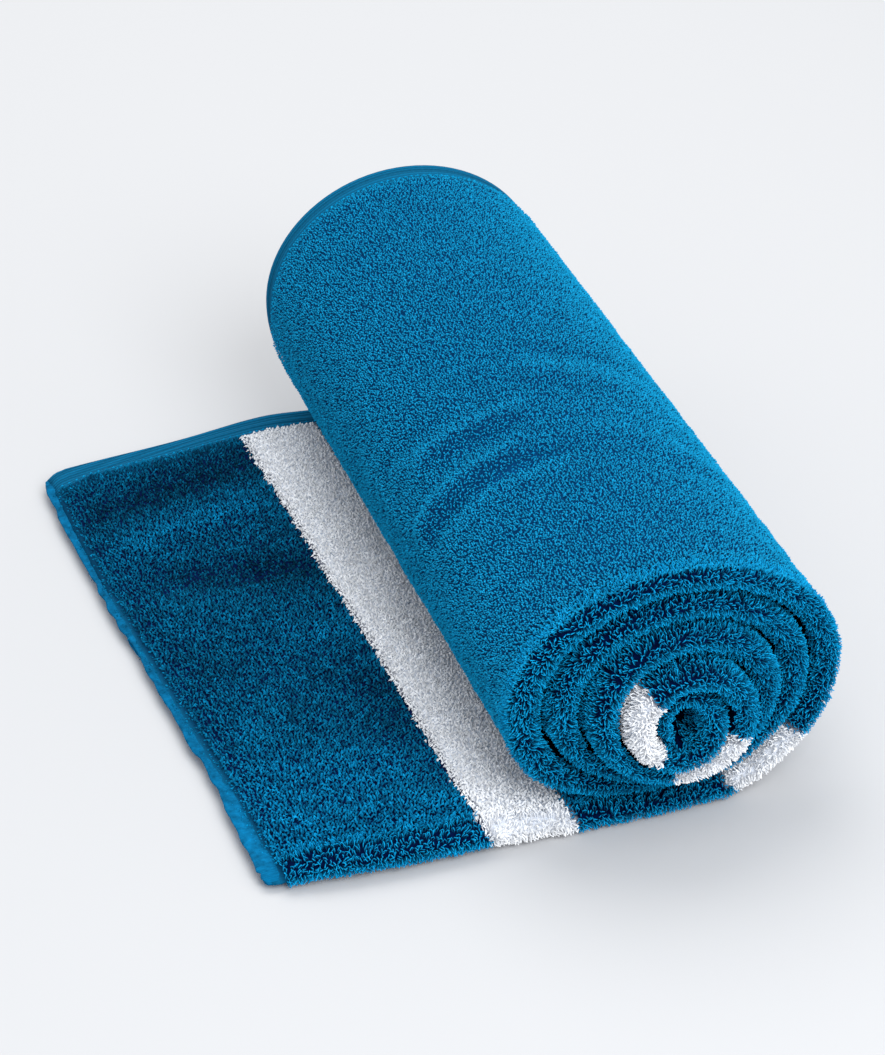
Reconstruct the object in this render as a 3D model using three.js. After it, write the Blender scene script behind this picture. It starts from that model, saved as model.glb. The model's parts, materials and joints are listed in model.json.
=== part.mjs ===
// A bath towel folded in half along its length, rolled up from one end, with the other end left as a flap.
// Millimetres. +Z is up, +Y runs along the roll from the fold to the hems, and the flap lies towards -X.
// The origin is on the floor under the middle of the roll.
import * as THREE from "three";

// The doubled cloth.
const HALF_WIDTH = 175; // from the middle of the roll to the fold, and to the side hems
const FLAP_LENGTH = 166.5; // from the middle of the roll to the end hem, at the fold
const FLAP_PLY = 12.5; // two layers of the flap, clear of the roll
const SLOT_FROM = 0.46; // the air between the two layers, as shares of their height
const SLOT_TO = 0.54;
const INNER_END_TURN = 4.93; // turns from the floor to the inner end hem
const FOLD_REACH = 8; // how far the rounded fold reaches in, on the roll
const FLAP_FOLD_REACH = 13; // and on the flap, where it is a soft bulge

// The hems are thinner than the cloth with its pile.
const HEM_WIDTH = 12;
const HEM_STEP = 4; // over which the pile falls to the hem
const HEM_DEPTH = 0.15; // share of the two layers' height by which a side hem lies lower
const END_HEM_HEIGHT = 0.46; // height of the flap's end and side hems, as a share of the flap's
const INNER_HEM_HEIGHT = 0.55; // and of the inner end hem, as a share of the inner turn's

// The far end of the roll is rounder than the near one.
const FAR_HEIGHT_GAIN = 0.18;
const FAR_WIDTH_LOSS = 0.012;
const FAR_WIDTH_TURN = 0.2; // the turn by which it has come in
const FLAT_SPOT_TO = 21; // x up to which the roll lies flat on the floor
const SAG_HEIGHT = 57; // height at which the sag has died out

// The flap lies a little askew, is pulled narrower towards its end, and its upper layer has slipped.
const SKEW = 0.022; // of the first stripe
const HEM_SKEW = 0.023; // more of it at the end hem
const LAYER_SLIP = 4;
const NARROWING = 0.27; // of the far edge, for each mm along the flap
const NARROW_FROM = 50;
const NARROW_TO = 75;
const FAR_EDGE_OUT = 3.5; // of the flap, before it narrows
const CORNER_IN = 4.3; // of the near corner
const CORNER_SHARE = 1 / 3; // of the width, over which it dies out
const HEM_WAVE = 1.6; // of the end hem
const HEM_WAVE_LENGTH = 330;
const HEM_WAVE_START = 7;
const HEMS_APART = 6.5; // by which the lower side hem shows beyond the upper one

// Where each change along the flap starts, from the middle of the roll, and the length over which it comes
// in.
const LAID_FLAT = { from: 0, over: 60 };
const ASKEW_END = { from: 70, over: 100 };
const CORNER_TURNED = { from: 110, over: 60 };
const THICKER = { from: 35, over: 65 };
const SIDE_HEM_LOW = { from: 20, over: 50 };
const FOLD_SOFT = { from: 20, over: 60 };
const HEMS_TOGETHER = { from: 90, over: 80 };

// One row for each stage of the roll, on its outer face. turn counts from the floor under the middle, out is
// how far the fold stands out, and air is the room left to the next turn in. The last rows only bound the
// inner end.
const TURNS = [
  { turn: 0.0, halfWidth: 77.0, halfHeight: 57.4, centreX: -3.5, centreZ: 57.4, out: 5, air: 1.0 },
  { turn: 0.25, halfWidth: 74.0, halfHeight: 55.2, centreX: -3.5, centreZ: 57.4, out: 0, air: 3.0 },
  { turn: 0.5, halfWidth: 70.5, halfHeight: 52.8, centreX: -3.5, centreZ: 57.4, out: 0, air: 1.0 },
  { turn: 0.75, halfWidth: 68.5, halfHeight: 51.4, centreX: -3.7, centreZ: 57.4, out: 0, air: 1.0 },
  { turn: 0.86, halfWidth: 71.0, halfHeight: 53.4, centreX: -3.8, centreZ: 57.4, out: 0, air: 1.6 },
  { turn: 1.0, halfWidth: 63.2, halfHeight: 47.9, centreX: -4.0, centreZ: 57.3, out: 0, air: 1.0 },
  { turn: 1.25, halfWidth: 59.6, halfHeight: 45.6, centreX: -4.2, centreZ: 57.2, out: 2, air: 2.6 },
  { turn: 1.5, halfWidth: 56.0, halfHeight: 43.1, centreX: -4.6, centreZ: 57.1, out: 4, air: 1.0 },
  { turn: 2.0, halfWidth: 48.8, halfHeight: 38.7, centreX: -5.0, centreZ: 56.7, out: 7, air: 1.0 },
  { turn: 2.5, halfWidth: 41.6, halfHeight: 34.1, centreX: -5.5, centreZ: 56.2, out: 12, air: 1.0 },
  { turn: 3.0, halfWidth: 34.4, halfHeight: 29.4, centreX: -6.0, centreZ: 55.7, out: 21, air: 1.0 },
  { turn: 3.5, halfWidth: 27.8, halfHeight: 24.8, centreX: -6.2, centreZ: 55.1, out: 24, air: 1.0 },
  { turn: 4.0, halfWidth: 21.4, halfHeight: 20.2, centreX: -6.4, centreZ: 54.8, out: 25, air: 1.0 },
  { turn: 4.5, halfWidth: 15.2, halfHeight: 15.4, centreX: -6.6, centreZ: 54.8, out: 20, air: 1.0 },
  { turn: 5.0, halfWidth: 9.4, halfHeight: 11.2, centreX: -6.8, centreZ: 54.8, out: 18, air: 1.0 },
  { turn: 5.5, halfWidth: 3.8, halfHeight: 6.2, centreX: -7.0, centreZ: 54.8, out: 18, air: 0 },
  { turn: 6.0, halfWidth: 1.2, halfHeight: 2.6, centreX: -7.2, centreZ: 54.8, out: 18, air: 0 },
];

// Ridges and creases round the outside of the roll, from one turn and y to another.
const CREASES = [
  { turn1: 0.69, y1: -69, turn2: 0.52, y2: -76, width: 5, height: -2.6 },
  { turn1: 0.7, y1: -56, turn2: 0.57, y2: -64, width: 6, height: 2.6 },
  { turn1: 0.63, y1: -44, turn2: 0.58, y2: -49, width: 6, height: -1.4 },
  { turn1: 0.655, y1: -30, turn2: 0.545, y2: -40, width: 6, height: 2.4 },
  { turn1: 0.7, y1: -8, turn2: 0.62, y2: -20, width: 6, height: -1.6 },
  { turn1: 0.76, y1: -58, turn2: 0.7, y2: -100, width: 6, height: -1.0 },
  { turn1: 0.7, y1: -106, turn2: 0.62, y2: -111, width: 6, height: -1.0 },
  { turn1: 0.7, y1: -136, turn2: 0.6, y2: -134, width: 7, height: -0.9 },
  { turn1: 0.48, y1: -4, turn2: 0.38, y2: -9, width: 7, height: -1.5 },
  { turn1: 0.51, y1: -14, turn2: 0.44, y2: -28, width: 8, height: 1.3 },
  { turn1: 0.48, y1: -66, turn2: 0.38, y2: -86, width: 7, height: 1.2 },
];

// Soft rises and troughs of the flap, from one x and y to another.
const SWELLS = [
  { x1: -168, y1: 104, x2: -95, y2: 128, width: 13, height: -1.8 },
  { x1: -162, y1: 68, x2: -105, y2: 88, width: 11, height: 1.6 },
  { x1: -156, y1: 36, x2: -70, y2: 26, width: 12, height: -1.9 },
  { x1: -156, y1: 4, x2: -100, y2: -22, width: 20, height: 1.1 },
  { x1: -98, y1: -78, x2: -84, y2: -134, width: 16, height: -1.6 },
  { x1: -160, y1: -152, x2: -60, y2: -154, width: 9, height: 0.9 },
];

// Stations along the cloth.
const FLAP_STOPS = [0, 7, 16, 32, 50, 68, 86, 104, 121, 137, 152]; // from the end hem
const STATIONS_A_TURN = [28, 24, 20, 16, 14];
const SHORTEST_STEP = 0.02; // turns

// Stops across the cloth, as y from one edge to the other.
const OUTER_STOPS = [
  { from: 159, to: 22, count: 5 },
  { from: 22, to: -98, count: 10 },
  { from: -98, to: -150, count: 3 },
];
const INNER_STOPS = { from: -150, to: 159, count: 8 };
const SLOT_STOPS = { from: 159, to: -120, count: 2 };
const FOLD_STOPS = 4;
const SLOT_FOLD_STOPS = 3;
const SLOT_FOLD_SHARE = 0.45; // reach of the slot into the fold

const RADIANS_A_TURN = 2 * Math.PI;
const UNDERSIDE_STEPS = 8;

function clamp(value, low, high) {
  return Math.min(Math.max(value, low), high);
}

function ease(value) {
  const t = clamp(value, 0, 1);
  return t * t * (3 - 2 * t);
}

function between(low, high, share) {
  return low + (high - low) * share;
}

// How far a change along the flap has come in, from 0 to 1.
function ramp(along, { from, over }) {
  return ease((along - from) / over);
}

// A smooth curve through one column of the table of turns.
function curveThrough(name) {
  const at = TURNS.map((row) => row.turn);
  const value = TURNS.map((row) => row[name]);
  const last = at.length - 1;
  const step = at.slice(1).map((t, i) => t - at[i]);
  const rise = step.map((h, i) => (value[i + 1] - value[i]) / h);
  const slope = value.map((_, i) => {
    if (i === 0) return rise[0];
    if (i === last) return rise[last - 1];
    if (rise[i - 1] * rise[i] <= 0) return 0;
    return (rise[i - 1] * step[i] + rise[i] * step[i - 1]) / (step[i - 1] + step[i]);
  });
  return (turn) => {
    const t = clamp(turn, at[0], at[last]);
    const i = clamp(at.findIndex((a) => a > t) - 1, 0, last - 1) || (t >= at[last] ? last - 1 : 0);
    const u = (t - at[i]) / step[i];
    const start = value[i] * (1 + 2 * u) * (1 - u) ** 2;
    const end = value[i + 1] * u * u * (3 - 2 * u);
    const startSlope = slope[i] * step[i] * u * (1 - u) ** 2;
    const endSlope = slope[i + 1] * step[i] * u * u * (u - 1);
    return start + end + startSlope + endSlope;
  };
}

const halfWidthAt = curveThrough("halfWidth");
const halfHeightAt = curveThrough("halfHeight");
const centreXAt = curveThrough("centreX");
const centreZAt = curveThrough("centreZ");
const outAt = curveThrough("out");
const airAt = curveThrough("air");

const FLOOR = TURNS[0];
const FLOOR_PLY = centreZAt(1) - halfHeightAt(1) - FLOOR.air; // two layers under the roll
const MM_A_TURN = RADIANS_A_TURN * FLOOR.halfWidth; // along the flat cloth

// How far a point lies along the flap, from the middle of the roll.
function alongFlap(turn) {
  return Math.max(-turn, 0) * MM_A_TURN;
}

// Height of a crease at a distance from its line, which ends softly.
function bumpAt(u, v, u1, v1, u2, v2, width, height) {
  const du = u2 - u1;
  const dv = v2 - v1;
  const share = clamp(((u - u1) * du + (v - v1) * dv) / (du * du + dv * dv), 0, 1);
  const distance = Math.hypot(u - u1 - share * du, v - v1 - share * dv);
  return height * Math.exp(-((distance / width) ** 2));
}

function creaseHeight(turn, y) {
  const girth = RADIANS_A_TURN * FLOOR.centreZ;
  const u = turn * girth;
  const one = (c) => bumpAt(u, y, c.turn1 * girth, c.y1, c.turn2 * girth, c.y2, c.width, c.height);
  return CREASES.reduce((sum, crease) => sum + one(crease), 0);
}

function swellHeight(x, y) {
  const one = (s) => bumpAt(x, y, s.x1, s.y1, s.x2, s.y2, s.width, s.height);
  return SWELLS.reduce((sum, swell) => sum + one(swell), 0);
}

// The oval of one turn, pushed out or in.
function ovalPoint(turn, push) {
  const angle = turn * RADIANS_A_TURN;
  return {
    x: centreXAt(turn) + (halfWidthAt(turn) + push) * Math.sin(angle),
    z: centreZAt(turn) - (halfHeightAt(turn) + push) * Math.cos(angle),
  };
}

// Height of the outer oval above the floor at one x, right of its lowest point.
function undersideAt(x) {
  let turn = 0;
  for (let i = 0; i < UNDERSIDE_STEPS; i += 1) {
    const reach = clamp((x - centreXAt(turn)) / halfWidthAt(turn), 0, 1);
    turn = Math.asin(reach) / RADIANS_A_TURN;
  }
  return ovalPoint(turn, 0).z;
}

// The roll's own section: the outer face at depth 0, and the inner face, just clear of the next turn, at
// depth 1. Its weight lays the underside flat.
function rollPoint(turn, depth) {
  const outer = ovalPoint(turn, 0);
  const inner = ovalPoint(turn + 1, airAt(turn));
  const x = between(outer.x, inner.x, depth);
  const z = between(outer.z, inner.z, depth);
  const sag = undersideAt(Math.min(x, FLAT_SPOT_TO));
  return { x, z: z - sag * clamp(1 - (z - sag) / SAG_HEIGHT, 0, 1) };
}

// A point of the roll, from its turn, its place across the folded cloth and its depth in the two layers.
function rolledPoint(turn, across, depth) {
  const share = (across + HALF_WIDTH) / (2 * HALF_WIDTH);
  const p = rollPoint(turn, depth);
  const bump = turn < 1 ? creaseHeight(turn, across) * (1 - depth) ** 2 : 0;
  const angle = turn * RADIANS_A_TURN;
  const widen = 1 - FAR_WIDTH_LOSS * share * ease(turn / FAR_WIDTH_TURN);
  const heighten = 1 + FAR_HEIGHT_GAIN * share;
  return new THREE.Vector3(
    p.x * widen + bump * Math.sin(angle),
    across - outAt(turn),
    p.z * heighten - bump * Math.cos(angle),
  );
}

// By how much the far edge of the flap has come in, before NARROWING.
function narrowedAlong(along) {
  if (along > NARROW_TO) return along - (NARROW_FROM + NARROW_TO) / 2;
  return Math.max(along - NARROW_FROM, 0) ** 2 / (2 * (NARROW_TO - NARROW_FROM));
}

// A point of the flap, from its distance along it, its place across and its depth in the two layers.
function flapPoint(along, across, depth) {
  const fromFold = across + HALF_WIDTH;
  const share = fromFold / (2 * HALF_WIDTH);
  const laid = ramp(along, LAID_FLAT);
  const wave = HEM_WAVE * Math.sin((RADIANS_A_TURN * (fromFold - HEM_WAVE_START)) / HEM_WAVE_LENGTH);
  const skew = laid * (SKEW * fromFold + LAYER_SLIP * depth);
  const endSkew = ramp(along, ASKEW_END) * (HEM_SKEW * fromFold - wave);
  const x = FLOOR.centreX - along - skew - endSkew;
  const corner = CORNER_IN * ramp(along, CORNER_TURNED) * clamp(1 - share / CORNER_SHARE, 0, 1);
  const farEdge = (FAR_EDGE_OUT + FLOOR.out) * laid - NARROWING * narrowedAlong(along);
  const y = across - FLOOR.out + share * farEdge + corner;
  const ply = between(FLOOR_PLY * (1 + FAR_HEIGHT_GAIN * share), FLAP_PLY, ramp(along, THICKER));
  const toEnd = (FLAP_LENGTH - along) / (HEM_WIDTH + HEM_STEP);
  const toSide = (HALF_WIDTH - across) / (HEM_WIDTH + HEM_STEP);
  const low = Math.max(1 - ease(toEnd), (1 - ease(toSide)) * ramp(along, SIDE_HEM_LOW));
  const height = (ply + swellHeight(x, y)) * between(1, END_HEM_HEIGHT, low);
  return new THREE.Vector3(x, y, depth * height);
}

function clothPoint(turn, across, depth) {
  if (turn < 0) return flapPoint(alongFlap(turn), across, depth);
  return rolledPoint(turn, across, depth);
}

// Values from one end to the other, the first left out.
function stops({ from, to, count }) {
  return Array.from({ length: count }, (_, i) => between(from, to, (i + 1) / count));
}

// The closed section of the doubled cloth at one turn, as places across and depths: down the outer layer
// from its hem, round the fold, up the inner layer to its hem, and back along both sides of the slot.
function section(turn) {
  const along = alongFlap(turn);
  const fold = between(FOLD_REACH, FLAP_FOLD_REACH, ramp(along, FOLD_SOFT));
  const foldStart = -HALF_WIDTH + fold;
  const innerEdge = HALF_WIDTH - HEMS_APART * (1 - ramp(along, HEMS_TOGETHER));
  const hemStart = HALF_WIDTH - HEM_WIDTH;
  const arc = (count, reach, deep) =>
    Array.from({ length: count }, (_, i) => {
      const angle = (Math.PI * (i + 1)) / (count + 1);
      return [foldStart - reach * Math.sin(angle), 0.5 - deep * Math.cos(angle)];
    });
  const leg = (list, depth) => list.map((y) => [Math.max(y, foldStart), depth]);
  const outer = OUTER_STOPS.flatMap(stops);
  const slot = stops(SLOT_STOPS);
  const slotDepth = 0.5 - SLOT_FROM;
  return [
    [HALF_WIDTH, HEM_DEPTH],
    [hemStart, HEM_DEPTH],
    ...leg([OUTER_STOPS[0].from, ...outer, foldStart], 0),
    ...arc(FOLD_STOPS, fold, 0.5),
    ...leg([foldStart, INNER_STOPS.from, ...stops(INNER_STOPS)], 1),
    [hemStart - HEMS_APART / 2, 1 - HEM_DEPTH],
    [innerEdge, 1 - HEM_DEPTH],
    [innerEdge, SLOT_TO],
    ...leg([SLOT_STOPS.from, ...slot, foldStart], SLOT_TO),
    ...arc(SLOT_FOLD_STOPS, fold * SLOT_FOLD_SHARE, slotDepth).reverse(),
    ...leg([SLOT_STOPS.from, ...slot, foldStart], SLOT_FROM).reverse(),
    [HALF_WIDTH, SLOT_FROM],
  ];
}

// The last part of the inner end is its hem, thinner about the middle of the two layers.
function hemmedDepth(turn, depth) {
  const girth = RADIANS_A_TURN * halfWidthAt(INNER_END_TURN);
  const toEnd = ((INNER_END_TURN - turn) * girth) / HEM_WIDTH;
  return 0.5 + (depth - 0.5) * between(INNER_HEM_HEIGHT, 1, ease(toEnd));
}

function stations() {
  const flap = FLAP_STOPS.map((stop) => (stop - FLAP_LENGTH) / MM_A_TURN);
  const roll = STATIONS_A_TURN.flatMap((count, whole) =>
    Array.from({ length: count }, (_, i) => whole + i / count),
  ).filter((turn) => turn < INNER_END_TURN - SHORTEST_STEP);
  return [...flap, ...roll, INNER_END_TURN];
}

function towelGeometry() {
  const turns = stations();
  const rings = turns.map((turn) =>
    section(turn).map(([across, depth]) => clothPoint(turn, across, hemmedDepth(turn, depth))),
  );
  const count = rings[0].length;
  const positions = rings.flat().flatMap((p) => [p.x, p.y, p.z]);
  const index = [];
  for (let i = 0; i < rings.length - 1; i += 1) {
    for (let j = 0; j < count; j += 1) {
      const a = i * count + j;
      const b = i * count + ((j + 1) % count);
      index.push(a, b + count, b, a, a + count, b + count);
    }
  }
  const outline = section(0).map(([y, depth]) => new THREE.Vector2(y, depth * FLOOR_PLY));
  const cap = THREE.ShapeUtils.triangulateShape(outline, []);
  const lastRing = (rings.length - 1) * count;
  cap.forEach(([a, b, c]) => {
    index.push(a, c, b);
    index.push(lastRing + a, lastRing + b, lastRing + c);
  });
  const geometry = new THREE.BufferGeometry();
  geometry.setAttribute("position", new THREE.Float32BufferAttribute(positions, 3));
  geometry.setIndex(index);
  geometry.computeVertexNormals();
  return geometry;
}

const cloth = new THREE.MeshStandardMaterial({ color: 0x0b6aa5, roughness: 0.95, metalness: 0 });
const towel = new THREE.Mesh(towelGeometry(), cloth);
towel.name = "towel";

const group = new THREE.Group();
group.name = "rolled_bath_towel";
group.add(towel);

export default group;
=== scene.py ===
"""A terry bath towel, folded in half along its length and rolled up from one end, in Blender.

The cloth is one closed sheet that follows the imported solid, a pile's height inside it. Short loops of yarn
stand on it up to the solid's surface. Lengths in the formulas are millimetres, and meshes are in metres.
"""

import json
import math

import bpy
import numpy as np
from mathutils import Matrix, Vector
from mathutils.geometry import tessellate_polygon

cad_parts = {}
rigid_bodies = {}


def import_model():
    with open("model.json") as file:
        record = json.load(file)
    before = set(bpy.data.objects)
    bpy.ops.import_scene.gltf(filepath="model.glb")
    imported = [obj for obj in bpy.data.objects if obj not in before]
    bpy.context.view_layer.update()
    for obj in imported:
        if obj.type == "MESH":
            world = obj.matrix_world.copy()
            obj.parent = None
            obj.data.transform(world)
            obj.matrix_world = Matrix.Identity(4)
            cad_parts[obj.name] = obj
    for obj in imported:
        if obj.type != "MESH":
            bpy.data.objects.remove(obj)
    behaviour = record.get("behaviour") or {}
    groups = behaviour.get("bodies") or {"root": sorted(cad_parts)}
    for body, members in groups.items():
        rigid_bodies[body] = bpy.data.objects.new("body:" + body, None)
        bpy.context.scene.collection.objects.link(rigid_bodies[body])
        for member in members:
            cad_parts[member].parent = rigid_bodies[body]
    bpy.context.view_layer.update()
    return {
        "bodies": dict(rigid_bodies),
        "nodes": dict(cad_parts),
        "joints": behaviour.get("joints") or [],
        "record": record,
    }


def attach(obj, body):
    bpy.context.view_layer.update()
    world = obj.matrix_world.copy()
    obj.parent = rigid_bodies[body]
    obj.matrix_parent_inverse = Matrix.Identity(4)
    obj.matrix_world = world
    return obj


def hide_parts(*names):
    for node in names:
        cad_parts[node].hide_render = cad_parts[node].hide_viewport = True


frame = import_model()

bl_info = {
    "name": "Rolled bath towel",
    "version": (1, 0, 0),
    "blender": (4, 5, 0),
    "location": "3D View > Sidebar > Towel",
    "description": "A rolled terry bath towel with its loop pile, hems and white stripes",
    "category": "Add Mesh",
}

MM = 0.001
BODY = "root"
NODE = "towel"
FULL_TURN = 2 * math.pi
NOISE_SIZE = 64

# The doubled cloth, as in the solid.
HALF_WIDTH = 175.0
FLAP_LENGTH = 166.5
FLAP_PLY = 12.5
SLOT_FROM = 0.46
SLOT_TO = 0.54
INNER_END_TURN = 4.93
FOLD_REACH = 8.0
FLAP_FOLD_REACH = 13.0
HEM_WIDTH = 12.0
HEM_STEP = 4.0
HEM_DEPTH = 0.15
END_HEM_HEIGHT = 0.46
INNER_HEM_HEIGHT = 0.55

# The roll's far end, flat spot and sag.
FAR_HEIGHT_GAIN = 0.18
FAR_WIDTH_LOSS = 0.012
FAR_WIDTH_TURN = 0.2
FLAT_SPOT_TO = 21.0
SAG_HEIGHT = 57.0
UNDERSIDE_STEPS = 8

# How the flap lies. Pairs say where a change starts along the flap, and over what length it grows.
SKEW = 0.022
HEM_SKEW = 0.023
LAYER_SLIP = 4.0
NARROWING = 0.27
NARROW_FROM = 50.0
NARROW_TO = 75.0
FAR_EDGE_OUT = 3.5
CORNER_IN = 4.3
CORNER_SHARE = 1 / 3
HEM_WAVE = 1.6
HEM_WAVE_LENGTH = 330.0
HEM_WAVE_START = 7.0
HEMS_APART = 6.5
LAID_FLAT = (0.0, 60.0)
ASKEW_END = (70.0, 100.0)
CORNER_TURNED = (110.0, 60.0)
THICKER = (35.0, 65.0)
SIDE_HEM_LOW = (20.0, 50.0)
FOLD_SOFT = (20.0, 60.0)
HEMS_TOGETHER = (90.0, 80.0)

# out is how far the fold stands out, and air is the gap to the next turn.
TURN_COLUMNS = ("turn", "half_width", "half_height", "centre_x", "centre_z", "out", "air")
TURNS = np.array(
    [
        (0.0, 77.0, 57.4, -3.5, 57.4, 5, 1.0),
        (0.25, 74.0, 55.2, -3.5, 57.4, 0, 3.0),
        (0.5, 70.5, 52.8, -3.5, 57.4, 0, 1.0),
        (0.75, 68.5, 51.4, -3.7, 57.4, 0, 1.0),
        (0.86, 71.0, 53.4, -3.8, 57.4, 0, 1.6),
        (1.0, 63.2, 47.9, -4.0, 57.3, 0, 1.0),
        (1.25, 59.6, 45.6, -4.2, 57.2, 2, 2.6),
        (1.5, 56.0, 43.1, -4.6, 57.1, 4, 1.0),
        (2.0, 48.8, 38.7, -5.0, 56.7, 7, 1.0),
        (2.5, 41.6, 34.1, -5.5, 56.2, 12, 1.0),
        (3.0, 34.4, 29.4, -6.0, 55.7, 21, 1.0),
        (3.5, 27.8, 24.8, -6.2, 55.1, 24, 1.0),
        (4.0, 21.4, 20.2, -6.4, 54.8, 25, 1.0),
        (4.5, 15.2, 15.4, -6.6, 54.8, 20, 1.0),
        (5.0, 9.4, 11.2, -6.8, 54.8, 18, 1.0),
        (5.5, 3.8, 6.2, -7.0, 54.8, 18, 0),
        (6.0, 1.2, 2.6, -7.2, 54.8, 18, 0),
    ]
)

# Ridges and creases round the outside of the roll: turn and y at each end, width, height.
CREASES = (
    (0.69, -69, 0.52, -76, 5, -2.6),
    (0.7, -56, 0.57, -64, 6, 2.6),
    (0.63, -44, 0.58, -49, 6, -1.4),
    (0.655, -30, 0.545, -40, 6, 2.4),
    (0.7, -8, 0.62, -20, 6, -1.6),
    (0.76, -58, 0.7, -100, 6, -1.0),
    (0.7, -106, 0.62, -111, 6, -1.0),
    (0.7, -136, 0.6, -134, 7, -0.9),
    (0.48, -4, 0.38, -9, 7, -1.5),
    (0.51, -14, 0.44, -28, 8, 1.3),
    (0.48, -66, 0.38, -86, 7, 1.2),
)

# Soft rises and troughs of the flap: x and y at each end, width, height.
SWELLS = (
    (-168, 104, -95, 128, 13, -1.8),
    (-162, 68, -105, 88, 11, 1.6),
    (-156, 36, -70, 26, 12, -1.9),
    (-156, 4, -100, -22, 20, 1.1),
    (-98, -78, -84, -134, 16, -1.6),
    (-160, -152, -60, -154, 9, 0.9),
)

# White stripes, as distances from an end hem along the cloth. The other end has the same ones.
STRIPES = ((90.5, 126.5), (194.5, 230.5))
STRIPE_SOFT = 0.8
STRIPE_IN = 0.9
STRIPE_RAGGED = 0.45

# The sheet: the depth at which its length is measured, its sections, and their points.
PATH_DEPTH = 0.37
PATH_STEPS = 6000
EDGE_ROUND = 1.7
STATION_EDGES = (3, 6, 8, 10, 12, 15)
FLAP_STATION_STEP = 3.8
STATIONS_A_TURN = (90, 52, 36, 28, 24)
OUTER_LEG = 46
INNER_LEG = 34
FOLD_POINTS = 11
SLOT_FOLD_POINTS = 5
EDGE_POINTS = 7
FOLD_BLEND = 16.0
SLOT_FOLD_SHARE = 0.45
DEEPEST_GROUND = 0.3

# The side hems, with ridges and fine lines along them. A stitch has a length, width, height and sink.
HEM_POINTS = 19
HEM_RIDGE = 0.28
HEM_RIDGE_PITCH = 3.0
HEM_LINE_M = 0.0021
FLAP_HEM_WIDTH = 15.5
SIDE_HEM_HEIGHT = 0.8
SEAM_IN = 0.6
SEAM_PITCH = 3.4
SEAM_STITCH = (3.0, 0.8, 0.7, 0.3)
SEAM_LOOSE = 0.25
SEAM_BOW = 0.4
SEAM_FRAME_STEPS = (1e-3, 0.1)

# The end hem: how much of it shows at the far end and at the fold, and its wavy, puckered edge.
END_HEM_SEEN = 3.6
END_HEM_WIDE = 6.8
END_HEM_WIDE_OVER = 140.0
END_HEM_UNEVEN = 0.7
END_HEM_UNEVEN_PITCH = 13.0
END_HEM_STEP = 3.0
END_RISE = 16.0
END_EDGE_HEIGHT = 0.74
HEM_STOPS = 190
HEM_FOLD_POINTS = 15
HEM_BACK_POINTS = 8
HEM_ROUND_POINTS = 9
HEM_FOLD_IN = 3.2
HEM_END_IN = 0.4
HEM_END_ROUND = 1.5
HEM_PUCKER = 0.03
HEM_PUCKER_PITCH = (4, 3)
HEM_PUCKER_FROM = 9
HEM_SEWN_IN = 0.05
HEM_SEAM_FROM_EDGE = 1.0
HEM_SEAM_WIDTH = 0.9
HEM_EASED = 0.03
HEM_EASED_OVER = 4
HEM_WAVES_OVER = 7
HEM_WAVES_FROM_CORNER = 14
HEM_CORNER_ROUND = 2.5
HEM_CORNER_OVER = 8

# Where the pile stands, and the steps in turns and millimetres by which a face's slopes are measured.
LOWEST = 0.02
ROLL_FROM = 0.012
ROLL_TO = 0.935
ROLL_PATH_STEPS = 1500
FLAP_TOP_FROM = 30.0
FLAP_UNDER_OVER = 6
HEM_OVERLAP = 1.6
PILE_ON_HEM_STEP = 0.4
PILE_ON_FOLD = 2
NEAR_FOLD = 16
NEAR_FOLD_OVER = 14
CREASE_LIFT = 0.28
CORE_TURNS = 0.95
CORE_FADE = 0.1
GAP_AIR = 1.3
GAP_REACH = 2.5
PROUD_FROM = 1.0
BARE_FROM = 0.5
FOLD_PAST = 2.0
MOST_PROUD = 20
MOST_BARE = 8
ARC_HIDDEN = 0.16
FOLD_PILE_FROM = 1.2
FOLD_PILE_TO_END = 1.5
FRAME_STEPS = (1e-4, 0.05)

# Brick pattern, and short loops: swirls, mounds and clumps, and how each grows, rises, tilts and bows.
BRICK_ROW = 0.866
BRICK_LOOSE = (0.42, 0.38)
SWIRL = 2.2
SWIRL_PITCH = 5
MOUND_PITCH = 7
FINE_MOUND = 0.7
FINE_MOUND_PITCH = 3.2
CLUMP_PITCH = 2.4
CLUMP_GAIN = 1.4
CLUMP_FROM = 0.2
CLUMP_SHARE = 0.35
LOOP_GROW = (0.8, 1.2)
LOOP_RISE = (-0.3, 0.2)
LOOP_TILT = 0.35
LOOP_BOW = 0.28
LOOP_THICK = 0.8
# The share of light painted along a short loop: its sunk ends get painted shade.
SHORT_PAINTED_SHADING = (0.3, 0.3, 0.75, 1.0, 0.75)
ROLL_NEAR_FOLD_GROW = 0.35
FLAP_NEAR_FOLD_GROW = 0.1
FLAP_WHITE_SCALE = 1.25

# Standing loops: stations from root to root, out from the middle and up, and their swirls, lean and growth.
LOOP_OUT = np.array([-0.4, -1.0, 0.0, 1.0, 0.4])
LOOP_UP = np.array([0.0, 0.66, 1.0, 0.66, 0.0])
# The share of light painted along a standing loop: it darkens towards the roots with painted shade.
LOOP_PAINTED_SHADING = np.array([0.08, 0.55, 1.0, 0.55, 0.08])
FOLD_SWIRL = 2
FOLD_SWIRL_PITCH = 6
DRIFT_PITCH = 5
LOOP_LEAN = 0.14
FOLD_GROW = (0.85, 1.12)
FOLD_CLUMP_PITCH = 4
YARN_GROW = (0.85, 1.15)

ROLL_SEED, FLAP_SEED, FOLD_SEED, SEAM_SEED = 11, 12, 13, 14

# Tone of the loops: of the fold's, and of the flap's from near to far, on its swells, stripe and patches.
SHADE_FOLD = -1.1
# The flap's blue loops darken away from the fold, partly for their more open pile and partly as painted
# shade.
SHADE_FAR = -2.7
SHADE_NEAR = -0.9
SHADE_FROM = -125.0
SHADE_OVER = 80.0
# On the flap's swells, the troughs get painted shade and the rises painted light.
SHADE_SWELL = 0.7
# The flap's white stripe is darkened with painted shade.
SHADE_STRIPE = -0.3
SHADE_PATCHES = 0.5
SHADE_PATCH_PITCH = 24

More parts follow.
